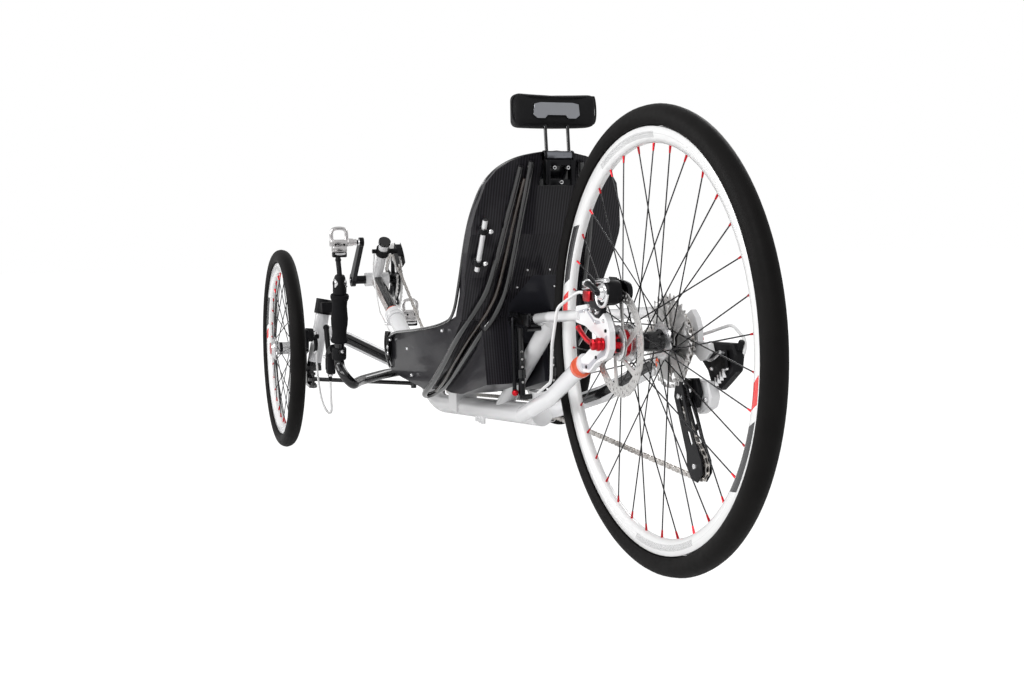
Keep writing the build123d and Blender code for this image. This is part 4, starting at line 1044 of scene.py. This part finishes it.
# %% Headrest clamp
clamp = [bar((-28, -347, 641), (28, -347, 641), 8.6, metal("clamp_grey", (0.30, 0.31, 0.34), 0.3), 32, None, 0.8)]
for low, high in (((-27.5, -351, 590), (-19, -334, 634)), ((19, -351, 590), (27.5, -334, 634)),
                  ((-20, -350, 624), (20, -335, 634)), ((-20, -350, 590), (20, -336, 600))):
    clamp.append(block(low, high, DARK, 1.5))
for low, high in ((-28, -23), (23, 28)):
    clamp.append(bar((low, -347, 641), (high, -347, 641), 9.4, DARK, 28, None, 0.8))
for x, z in ((-12.7, 620), (12.7, 620), (0, 595)):
    clamp.append(bar((x, -340, z), (x, -331, z), 4.2, CHROME, 18, 3.4, 0.5))
    clamp.append(bar((x, -334, z), (x, -330.5, z), 1.9, DARK, 6, None, 0))
join("headrest_clamp", "frame", clamp)

# %% [markdown]
# ## Seat bracket and struts
# A slotted strut on each side lets the back be set to several angles, and a second strut with a red knob
# locks it.

# %% Seat bracket, struts and screws
hardware = [block((-44, -500, 343), (44, -440, 351), DARK, 2), block((-44, -445, 340), (-37, -392, 362), DARK, 2),
            block((37, -445, 340), (44, -392, 362), DARK, 2)]
for side in (1, -1):
    hardware.append(bar((side * 31, -470, 348), (side * 31, -462, 206), 6.4, DARK, 20, None, 0.8))
    for n in range(8):
        share = 0.12 + n * 0.1
        y, z = -470 + 8 * share, 348 - 142 * share
        hardware.append(bar((side * 31, y + 3, z), (side * 31, y + 7.2, z), 2.2, STEEL, 10, None, 0.2))
    hardware.append(bar((side * 44, -470, 352), (side * 44, -466, 212), 4.0, DARK, 14))
    hardware.append(ball((side * 44, -463, 212), 6.5, RED))
    hardware.append(ball((side * 34, -455, 338), 4, CHROME))
    for x, y, z in ((22, -448, 440), (37, -464, 408)):
        hardware.append(bar((side * x, y - 6, z), (side * x, y + 1.8, z), 2.4, CHROME, 12, 1.8, 0.2))
join("seat_hardware", "frame", hardware)


# %% [markdown]
# ## Rear brake
# The rear brake is a cable caliper: a round housing with a spring arm, bolted to a hanger by a post mount.

# %% Rear caliper
caliper = [
    bar((56, 8, 422), (78, 8, 422), 18, PLASTIC, 40, 17, 2.5),
    bar((38, 8, 422), (48, 8, 422), 15, DARK, 36, 17, 2),
    turned_along((78, 8, 422), (88, 8, 422), [(0, 9), (0, 13.5), (0.3, 14), (0.35, 11.5), (0.7, 11), (1, 8.5), (1, 3)],
                 CHROME, 36),
    bar((86, 8, 422), (91, 8, 422), 5.4, DARK, 18, 4.6, 0.8),
    bent_bar([(81, 26, 420), (82, 24, 406), (82, 8, 400), (82, -8, 406), (81, -12, 420)], 2.6, CHROME, 4),
    block((54, -40, 402), (74, 4, 436), PLASTIC, 4),
    block((42, -66, 405), (66, -28, 431), DARK, 4),
    block((64, -54, 380), (75, -12, 408), DARK, 3),
    block((60, -94, 403), (68, -66, 420), RED, 2.5),
    bar((64, -98, 424), (64, -60, 426), 3.2, CHROME, 16, None, 0.5),
    bar((78, -14, 437), (78, 22, 440), 4.4, CHROME, 18, 3.4, 0.8),
    bent_bar([(88, 8, 422), (90, -10, 432), (88, -32, 434), (82, -52, 430)], 4.6, DARK, 4),
    ball((86, -34, 434), 6.2, CHROME), bar((80, -34, 434), (93, -34, 434), 3.0, CHROME, 14, None, 0.4),
]
for y, z in ((-44, 394), (-20, 392)):
    caliper.append(bar((72, y, z), (80, y, z), 4.4, CHROME, 18, 3.8, 0.6))
    caliper.append(bar((78, y, z), (80.5, y, z), 1.9, DARK, 6, None, 0))
for n in range(5):
    caliper.append(block((46 + n * 3.4, -26, 428), (47.8 + n * 3.4, 0, 443 - abs(n - 2) * 2), DARK, 0.6))
join("rear_brake_caliper", "frame", caliper, ["rear_caliper"])

# %% [markdown]
# ## Dropouts
# The dropouts have shallow pockets, shown as grey plates that stand just proud of the metal.

# %% Dropout pockets
POCKET = gloss("pocket_grey", (0.42, 0.42, 0.46), 0.3, 0.05, 0.3)
UPPER = [(-92, 38), (-58, 45), (-34, 30), (-22, 27), (-8, 30), (-12, 33), (-32, 34), (-58, 49), (-90, 43)]
LOWER = [(-88, -44), (-50, -43), (-24, -27), (6, -16), (14, -4), (14, 14), (8, 12), (4, -6), (-26, -21), (-52, -35),
         (-84, -37)]
pocket = [cut_plate([outline], 76.2, 77.0, REAR_AXLE, POCKET) for outline in (UPPER, LOWER)]
for y, z in ((-66, 44), (-26, 30), (3, 34), (10, 20), (-60, -40), (-24, -22)):
    z += REAR_RADIUS
    pocket.append(bar((76, y, z), (78.4, y, z), 3.0, CHROME if z > REAR_RADIUS + 25 else DARK, 14, 2.4, 0.3))
join("dropout_details", "frame", pocket)

# %% [markdown]
# ## Quick release and rear hub
# The axle's red nut and lever are turned and bent parts on one line. The hub shell has a bright flange
# on each side and six studs that hold the disc.

# %% Quick release and rear hub
release = [
    turned([(66, 5), (66, 12), (64, 14.5), (55, 14.5), (53.5, 12), (53.5, 5)], REAR_AXLE, RED, 36),
    turned([(76.6, 3), (76.6, 9.2), (79, 10), (81, 8.4), (83, 10), (86, 10), (88, 8.4), (94, 8.4), (95.5, 6),
            (95.5, 3)], REAR_AXLE, RED, 36),
    bent_bar([(90, -2, 346), (91, -16, 348), (92, -32, 354), (92, -46, 362), (90, -58, 366)], 3.8, RED, 5),
    ball((90, -58, 366), 4.6, RED),
]
axle_low, axle_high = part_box("rear_axle")
release.append(bar((axle_low.x / MM, 0, REAR_RADIUS), (axle_high.x / MM - 2, 0, REAR_RADIUS), 4, RED))
join("quick_release", "frame", release, ["rear_axle"])
hub_parts = []
for n in range(6):
    y, z = polar(15.5, pi * n / 3 + 0.4)
    hub_parts.append(bar((57, y, REAR_RADIUS + z), (61, y, REAR_RADIUS + z), 3.1, DARK, 12, 2.4, 0.4))
hub_parts += [
    turned([(36.5, 11), (36.5, 25.5), (34.5, 26.5), (32, 26), (31.2, 24), (31.2, 11)], REAR_AXLE, CHROME, 48),
    turned([(-17, 11), (-17, 25), (-18.5, 27.5), (-22, 27.5), (-23.4, 25), (-23.4, 11)], REAR_AXLE, ALLOY, 48),
    turned([(30, 12.4), (27, 13.8), (8, 13.8), (6, 15), (-12, 15), (-15, 18), (-17, 18), (-17, 10), (30, 10)],
           REAR_AXLE, BLACK_PAINT, 40),
]
join("rear_hub_shell", "rear_wheel", hub_parts)


# %% [markdown]
# ## Rear derailleur
# The derailleur is two links and a long cage with two small toothed wheels. Each plate of it is an
# outline, cut across the trike's width.

# %% Rear derailleur
CAGE = [(8, 290), (26, 288), (34, 262), (62, 208), (84, 178), (86, 160), (72, 144), (54, 146), (42, 160), (40, 182),
        (14, 238), (2, 262)]
WINDOWS = [[(24, 268), (34, 246), (44, 226), (38, 222), (26, 244), (18, 262)],
           [(48, 218), (58, 200), (54, 194), (42, 214)]]
GUIDE, TENSION = (18, 264), (65, 167)  # middles of the two small wheels


def pulley(teeth, y, z, radius, thick=2.0):
    outline = [polar(radius + (2.6 if n % 2 else -1.2), pi * n / teeth) for n in range(teeth * 2)]
    holes = [hoop(radius * 0.14, 8, *polar(radius * 0.55, 2 * pi * n / 5)) for n in range(5)]
    return cut_plate([outline] + holes, CHAIN_X - thick / 2, CHAIN_X + thick / 2, (0, y, z), PLASTIC)


def side_plate(outlines, low, high, finish, edge=0.25):
    """Plate whose outlines are counted from the ground."""
    return cut_plate([[(y, z - REAR_RADIUS) for y, z in outline] for outline in outlines], low, high, REAR_AXLE,
                     finish, edge=edge)


rear_shift = [
    side_plate([CAGE] + WINDOWS, CHAIN_X - 8.5, CHAIN_X - 6.5, DARK),
    side_plate([CAGE] + WINDOWS, CHAIN_X + 6.5, CHAIN_X + 8.5, DARK),
    pulley(11, *GUIDE, 17), pulley(13, *TENSION, 17.5),
    bar((CHAIN_X - 11, *GUIDE), (CHAIN_X + 11, *GUIDE), 4.2, CHROME, 16),
    bar((CHAIN_X - 11, *TENSION), (CHAIN_X + 11, *TENSION), 4.2, CHROME, 16),
    side_plate([[(4, 288), (36, 292), (46, 272), (38, 248), (14, 248), (2, 264)]], -64, -55.5, PLASTIC, 1.5),
    side_plate([[(2, 286), (52, 288), (62, 266), (56, 250), (26, 236), (0, 250)]], -84, -66, WHITE_PAINT, 2.5),
    side_plate([[(-4, 336), (22, 344), (100, 348), (112, 332), (108, 308), (84, 290), (64, 276), (44, 280),
                 (32, 300), (8, 318)]], -94, -78, PLASTIC, 3),
    side_plate([[(40, 330), (94, 338), (98, 314), (66, 294)]], -77, -72, DARK, 1.5),
    bar((-88, 104, 338), (-88, 112, 352), 5.4, PLASTIC, 18, 4.4, 0.8),
    bent_bar([(-72, 22, 328), (-70, 46, 318), (-70, 66, 322), (-70, 84, 334)], 2.2, CHROME, 4),
    bar((-60, 8, 336), (-74, 8, 336), 9, DARK, 24, 7.5, 1),
]
for x, y, z, size in ((-77, 46, 330, 4.6), (-77, 74, 332, 4.6), (-77, 92, 312, 4), (-65, 52, 262, 4), (-54, 24, 272, 5),
                      (-65, 14, 252, 3.6), (-71, 60, 308, 3.2), (-58, 8, 336, 4.6)):
    rear_shift.append(bar((x, y, z), (x + 4, y, z), size, CHROME, 16, size - 1, 0.5))
for n in range(4):
    rear_shift.append(block((-76, 66 + n * 7, 283 + n * 5), (-70, 69 + n * 7, 296 + n * 5), CHROME, 0.5))
join("rear_derailleur_unit", "frame", rear_shift, ["rear_derailleur"])

# %% [markdown]
# ## Grips
# Everything on the upright bars is turned about the bar's own line. The foam grip has a waist for the hand.

# %% Grips
STEER_Y = FRONT_Y + 64
BAR_FOOT, BAR_HEAD = Vector((270, STEER_Y + 210, 222)), Vector((270, STEER_Y + 243, 388))


def along_line(start, end, distance, x=0.0, y=0.0):
    spot = start + (end - start).normalized() * distance
    return (spot.x + x, spot.y + y, spot.z)


def on_bar(distance, x=0.0, y=0.0):
    return along_line(BAR_FOOT, BAR_HEAD, distance, x, y)


def by_pivot(x, y, z):
    """A place counted from the steering pivot's line across the trike."""
    return (x, STEER_Y + y, z)


grip = turned_along(on_bar(53), on_bar(161), [
    (0, 12), (0, 17.5), (0.03, 19), (0.06, 19), (0.1, 16.5), (0.22, 15.8), (0.38, 18.2), (0.5, 18.8), (0.64, 17.2),
    (0.76, 16.2), (0.86, 17), (0.92, 20), (0.97, 20.5), (1, 19), (1, 12)], FOAM)
pair("grip", "steering_bar", [grip], shared="grips")

# %% [markdown]
# ## Shifters
# A bar-end shifter has a clamp, a bright barrel and a paddle that points up.

# %% Shifters
shift = [
    turned_along(on_bar(162), on_bar(204), [(0, 10), (0, 14), (0.12, 15), (0.5, 15), (0.62, 13.5), (0.9, 12), (1, 10)],
                 PLASTIC),
    bar(on_bar(186, -13), on_bar(186, 13), 12, CHROME, 32, None, 2),
    bar(on_bar(186, -15), on_bar(186, 15), 5.5, DARK, 20, None, 0.8),
    ball(on_bar(180, -12, 6), 4, CHROME),
    block(by_pivot(264.5, 236, 402), by_pivot(275.5, 252, 426), PLASTIC, 3),
    bent_bar([by_pivot(270, y, z) for y, z in ((248, 420), (244, 436), (238, 448), (236, 461))], 5.6, PLASTIC, 5),
    ball(by_pivot(270, 237, 455), 6.6, PLASTIC),
]
pair("shifter", "steering_bar", shift, shared="bar_end_shifters")

# %% [markdown]
# ## Brake levers
# The lever's body is clamped low on the bar and bends forward. The hose leaves it at the bottom.

# %% Brake levers
BODY = ((279, 208, 258), (279, 186, 256), (280, 162, 244), (279, 150, 224), (279, 150, 206))
BLADE = ((280, 152, 232), (280, 142, 250), (280, 134, 275), (280, 126, 298))
lever = [
    turned_along(on_bar(14), on_bar(40), [(0, 11.5), (0, 15), (0.1, 16), (0.9, 16), (1, 15), (1, 11.5)], PLASTIC),
    bent_bar([by_pivot(*spot) for spot in BODY], 10.5, PLASTIC),
    block(by_pivot(270, 144, 196), by_pivot(288, 172, 240), PLASTIC, 4),
    bar(by_pivot(279, 150, 206), by_pivot(279, 150, 190), 7, CHROME, 20, 6, 1),
    bar(by_pivot(279, 150, 192), by_pivot(279, 150, 179), 4.6, PLASTIC, 18, 3.6, 0.8),
    bent_bar([by_pivot(*spot) for spot in BLADE], 6.0, PLASTIC, 5),
    ball(by_pivot(280, 125, 299), 7.2, PLASTIC),
    bar(by_pivot(265, 156, 236), by_pivot(294, 156, 236), 4.2, CHROME, 18, None, 0.8),
    bar(by_pivot(270, 222, 250), by_pivot(270, 250, 255), 5.5, DARK, 18, None, 0.8),
    bar(by_pivot(270, 248, 255), by_pivot(270, 252, 255.4), 3.6, CHROME, 14, None, 0.4),
]
pair("brake_lever", "steering_bar", lever, shared="brake_levers")

# %% [markdown]
# ## Front brakes
# The same kind of cable caliper sits inside each front wheel. It is made upright and then leaned with
# the wheel.

# %% Front calipers
def by_wheel(x, y, z):
    return (LEFT_AXLE[0] + x, LEFT_AXLE[1] + y, LEFT_AXLE[2] + z)


front_brake = [
    bar(by_wheel(-62, 64, 36), by_wheel(-44, 64, 36), 15.5, PLASTIC, 36, 17, 2),
    bar(by_wheel(-68, 64, 36), by_wheel(-60, 64, 36), 9, CHROME, 28, 11, 1.2),
    bar(by_wheel(-26, 64, 36), by_wheel(-19, 64, 36), 12, DARK, 28, 9, 1),
    block(by_wheel(-50, 44, 4), by_wheel(-38, 80, 50), DARK, 4),
    block(by_wheel(-38, 68, 14), by_wheel(-24, 84, 56), DARK, 3),
    bent_bar([by_wheel(-66, 64, 36), by_wheel(-68, 70, 20), by_wheel(-68, 68, 4), by_wheel(-68, 58, -8)], 4.6, DARK, 4),
    ball(by_wheel(-68, 62, -6), 5.6, CHROME),
    block(by_wheel(-75, 58, 27), by_wheel(-60, 74, 38), DARK, 2),
    bar(by_wheel(-69, 66, 44), by_wheel(-69, 66, 28), 4.2, CHROME, 16, 3.4),
]
for z in (10, 44):
    front_brake.append(bar(by_wheel(-46, 50, z), by_wheel(-54, 50, z), 4.2, CHROME, 16, 3.4))
pair("front_brake_caliper", "*_upright", lean_all(front_brake, LEFT_AXLE, CAMBER), "front_caliper")

# %% [markdown]
# ## Pedals
# The pedals are the racing kind: a metal loop in front and a sprung jaw behind, on a body that turns
# about the axle. The right one is built on the left and mirrored.

# %% Pedals
CRANK_LENGTH, CRANK_ANGLE = 165, radians(41.8)
REACH_Y, REACH_Z = polar(CRANK_LENGTH, CRANK_ANGLE)
PEDAL_SILVER = metal("pedal_silver", (0.78, 0.76, 0.76), 0.22)


def pedal(y, z):
    return [
        bent_bar([(114, y, z + 2), (110, y, z + 14), (112, y, z + 34), (122, y - 1, z + 39), (142, y - 1, z + 39),
                  (152, y, z + 34), (154, y, z + 14), (150, y, z + 2)], 5.0, PEDAL_SILVER, 5),
        block((106, y - 10, z - 12), (158, y + 10, z + 8), PEDAL_SILVER, 5),
        block((112, y - 12, z - 27), (152, y + 12, z - 10), PEDAL_SILVER, 4),
        block((113, y - 13.5, z - 41), (151, y + 12, z - 25), PLASTIC, 3.5),
        bent_bar([(118, y + 13, z - 30), (132, y + 14, z - 34), (146, y + 13, z - 30)], 3.0, CHROME, 4),
        bar((120, y + 9, z - 6), (120, y + 11.5, z - 6), 3.2, DARK, 12, None, 0.3),
        bar((144, y + 9, z - 6), (144, y + 11.5, z - 6), 3.2, DARK, 12, None, 0.3),
        turned_along((84, y, z), (110, y, z), [(0, 6), (0, 9), (0.3, 8), (0.35, 10), (0.9, 11), (1, 8)], PEDAL_SILVER),
    ]


join("left_pedal_body_shape", "left_pedal_body", pedal(AXLE_Y + REACH_Y, AXLE_Z + REACH_Z), ["left_pedal"])
right_side = join("right_pedal_parts", None, pedal(AXLE_Y - REACH_Y, AXLE_Z - REACH_Z))
other_side(right_side, "right_pedal_body_shape", "right_pedal_body", ["right_pedal"])
bpy.data.objects.remove(right_side)

# %% [markdown]
# ## Crank bolts
# A bright cap closes each pedal thread, and a dark cap with a bright bolt closes each end of the axle.

# %% Crank bolts
bolts = []
for side in (1, -1):
    y, z = AXLE_Y + side * REACH_Y, AXLE_Z + side * REACH_Z
    bolts.append(bar((side * 74, y, z), (side * 79, y, z), 9, CHROME, 24, 8, 0.8))
    bolts.append(bar((side * 75, AXLE_Y, AXLE_Z), (side * 79, AXLE_Y, AXLE_Z), 11, DARK, 28, 9, 1.2))
    bolts.append(bar((side * 78, AXLE_Y, AXLE_Z), (side * 80, AXLE_Y, AXLE_Z), 5, CHROME, 18, 4))
join("crank_bolts", "cranks", bolts)

# %% [markdown]
# ## Boom collar and stay rings
# The boom slides in the main tube, which ends in a clamp with an orange ring. The stays have one ring each.

# %% Boom collar and stay rings
BOOM_FOOT = Vector((0, FRONT_Y - 291, 288))


def on_boom(distance):
    return along_line(BOOM_FOOT, Vector(CRANK_AXLE), distance)


collar = [
    turned_along(on_boom(1), on_boom(13), [(0, 17), (0, 20), (0.2, 20.6), (0.8, 20.6), (1, 19), (1, 17)],
                 ORANGE_BAND, 48),
    turned_along(on_boom(-20), on_boom(0), [(0, 19), (0, 25), (0.1, 25.8), (0.9, 25.8), (1, 24), (1, 19)],
                 WHITE_PAINT, 48),
    bar((-22, FRONT_Y - 283, 262), (22, FRONT_Y - 283, 262), 5.0, CHROME, 20, None, 1),
    ball((24, FRONT_Y - 283, 262), 5.6, CHROME),
]
join("boom_collar", "frame", collar)
pair("stay_ring", "frame", [turned_along(
    (72.5, -94, 300), (73.5, -84, 304.4), [(0, 14), (0, 16.2), (0.2, 16.8), (0.8, 16.8), (1, 16.2), (1, 14)],
    ORANGE_BAND, 40)])

# %% [markdown]
# ## Flag holder clips
# Two plastic clips with a bright screw each hold the flag's tube to the back of the seat.

# %% Flag holder clips
FLAG_TOP, FLAG_FOOT = Vector((124, -382, 532)), Vector((124, -434.5, 442))
clips = []
for distance in (22, 88):
    low, (x, y, z), high = (along_line(FLAG_TOP, FLAG_FOOT, distance + step) for step in (-5, 0, 5))
    clips.append(turned_along(low, high, [(0, 4), (0, 7.6), (0.15, 8.2), (0.85, 8.2), (1, 7.6), (1, 4)], PLASTIC, 28))
    clips.append(ball((x - 12, y + 4, z - 1), 5.2, CHROME))
    clips.append(bar((x - 14, y + 3, z), (x - 4, y + 2, z), 3.6, PLASTIC, 14))
join("flag_holder_clips", "frame", clips)

# %% [markdown]
# ## Frame bolts
# Three bolts stand under the main tube, and one closes the steering pivot.

# %% Frame bolts
small = [bar((8, y, 128), (8, y, 104), 5.4, CHROME, 18, 4.8) for y in (-800, -780, -762)]
small.append(bar((0, STEER_Y, 199), (0, STEER_Y, 203), 7, CHROME, 24, 6, 0.8))
join("frame_bolts", "frame", small)


# %% [markdown]
# ## Painted panels
# Some tubes carry black panels with white borders. The paint follows each tube's own middle line, which
# the material works out from the place, so a panel keeps its border along the whole tube.

# %% Panels on the arms, stays and boom
PANEL_BLACK = (0.008, 0.008, 0.009)


def panel(name, line, start, end, half, along_x=True, slant=0.4, only_side=0):
    """White paint with a black panel on a tube whose middle runs through (x or y, z) pairs in millimetres."""
    finish = Finish(name, Coat_Weight=0.5, Coat_Roughness=0.07)
    x, y, z = finish.axes(at(0, 0, 0))
    run = (x * 1000).fn("ABSOLUTE") if along_x else y * 1000
    middle = run * 0 + line[0][1]
    for (low, low_z), (high, high_z) in zip(line, line[1:]):
        share = ((run - low) * (1 / (high - low))).fn("MAXIMUM", 0.0).fn("MINIMUM", 1.0)
        middle = middle + share * (high_z - low_z)
    off = z * 1000 - middle
    lean = run + off * slant
    inside = (lean > start) * (lean < end) * (off.fn("ABSOLUTE") < half)
    if only_side:
        inside = inside * ((x * only_side) > 0)
    white = mix(finish.tree, finish.noise(9, 4), (0.76, 0.76, 0.78), (0.82, 0.82, 0.83))
    return finish.surface(mix(finish.tree, inside, white, PANEL_BLACK), finish.noise(60, 2) * 0.08 + 0.16,
                          finish.noise(900, 2), 0.04, 0.0004)


def boom_paint():
    """Black boom with a painted reflection: a pale speckled strip along its left side stands in for light reflected
    there.
    """
    finish = Finish("boom_paint", Coat_Weight=0.6, Coat_Roughness=0.06)
    x, y, z = finish.axes(at(0, 0, 0))
    # painted reflection: the pale speckles on the left side, which faces the lamps, stand in for light on the black
    # boom
    strip = (x * 1000 > 12.5) * (y * 1000 < -1560)
    painted_sheen = mix(finish.tree, finish.noise(700, 4, 0.7) > 0.5, (0.16, 0.13, 0.12), (0.6, 0.56, 0.55))
    return finish.surface(mix(finish.tree, strip, PANEL_BLACK, painted_sheen), finish.noise(60, 2) * 0.08 + 0.14,
                          finish.noise(900, 2), 0.04, 0.0004)


ARM_LINE = [(0, 172), (75, 190), (190, 252), (262, 280)]
STAY_LINE = [(-500, 163), (-400, 190), (-270, 230), (-78, 310)]
dress(panel("arm_panel", ARM_LINE, 62, 212, 12.5, slant=1.2), "left_cross_arm right_cross_arm")
dress(panel("stay_panel", STAY_LINE, -330, -100, 9.0, False, 1.0, -1), "lower_stays")
dress(boom_paint(), "boom")
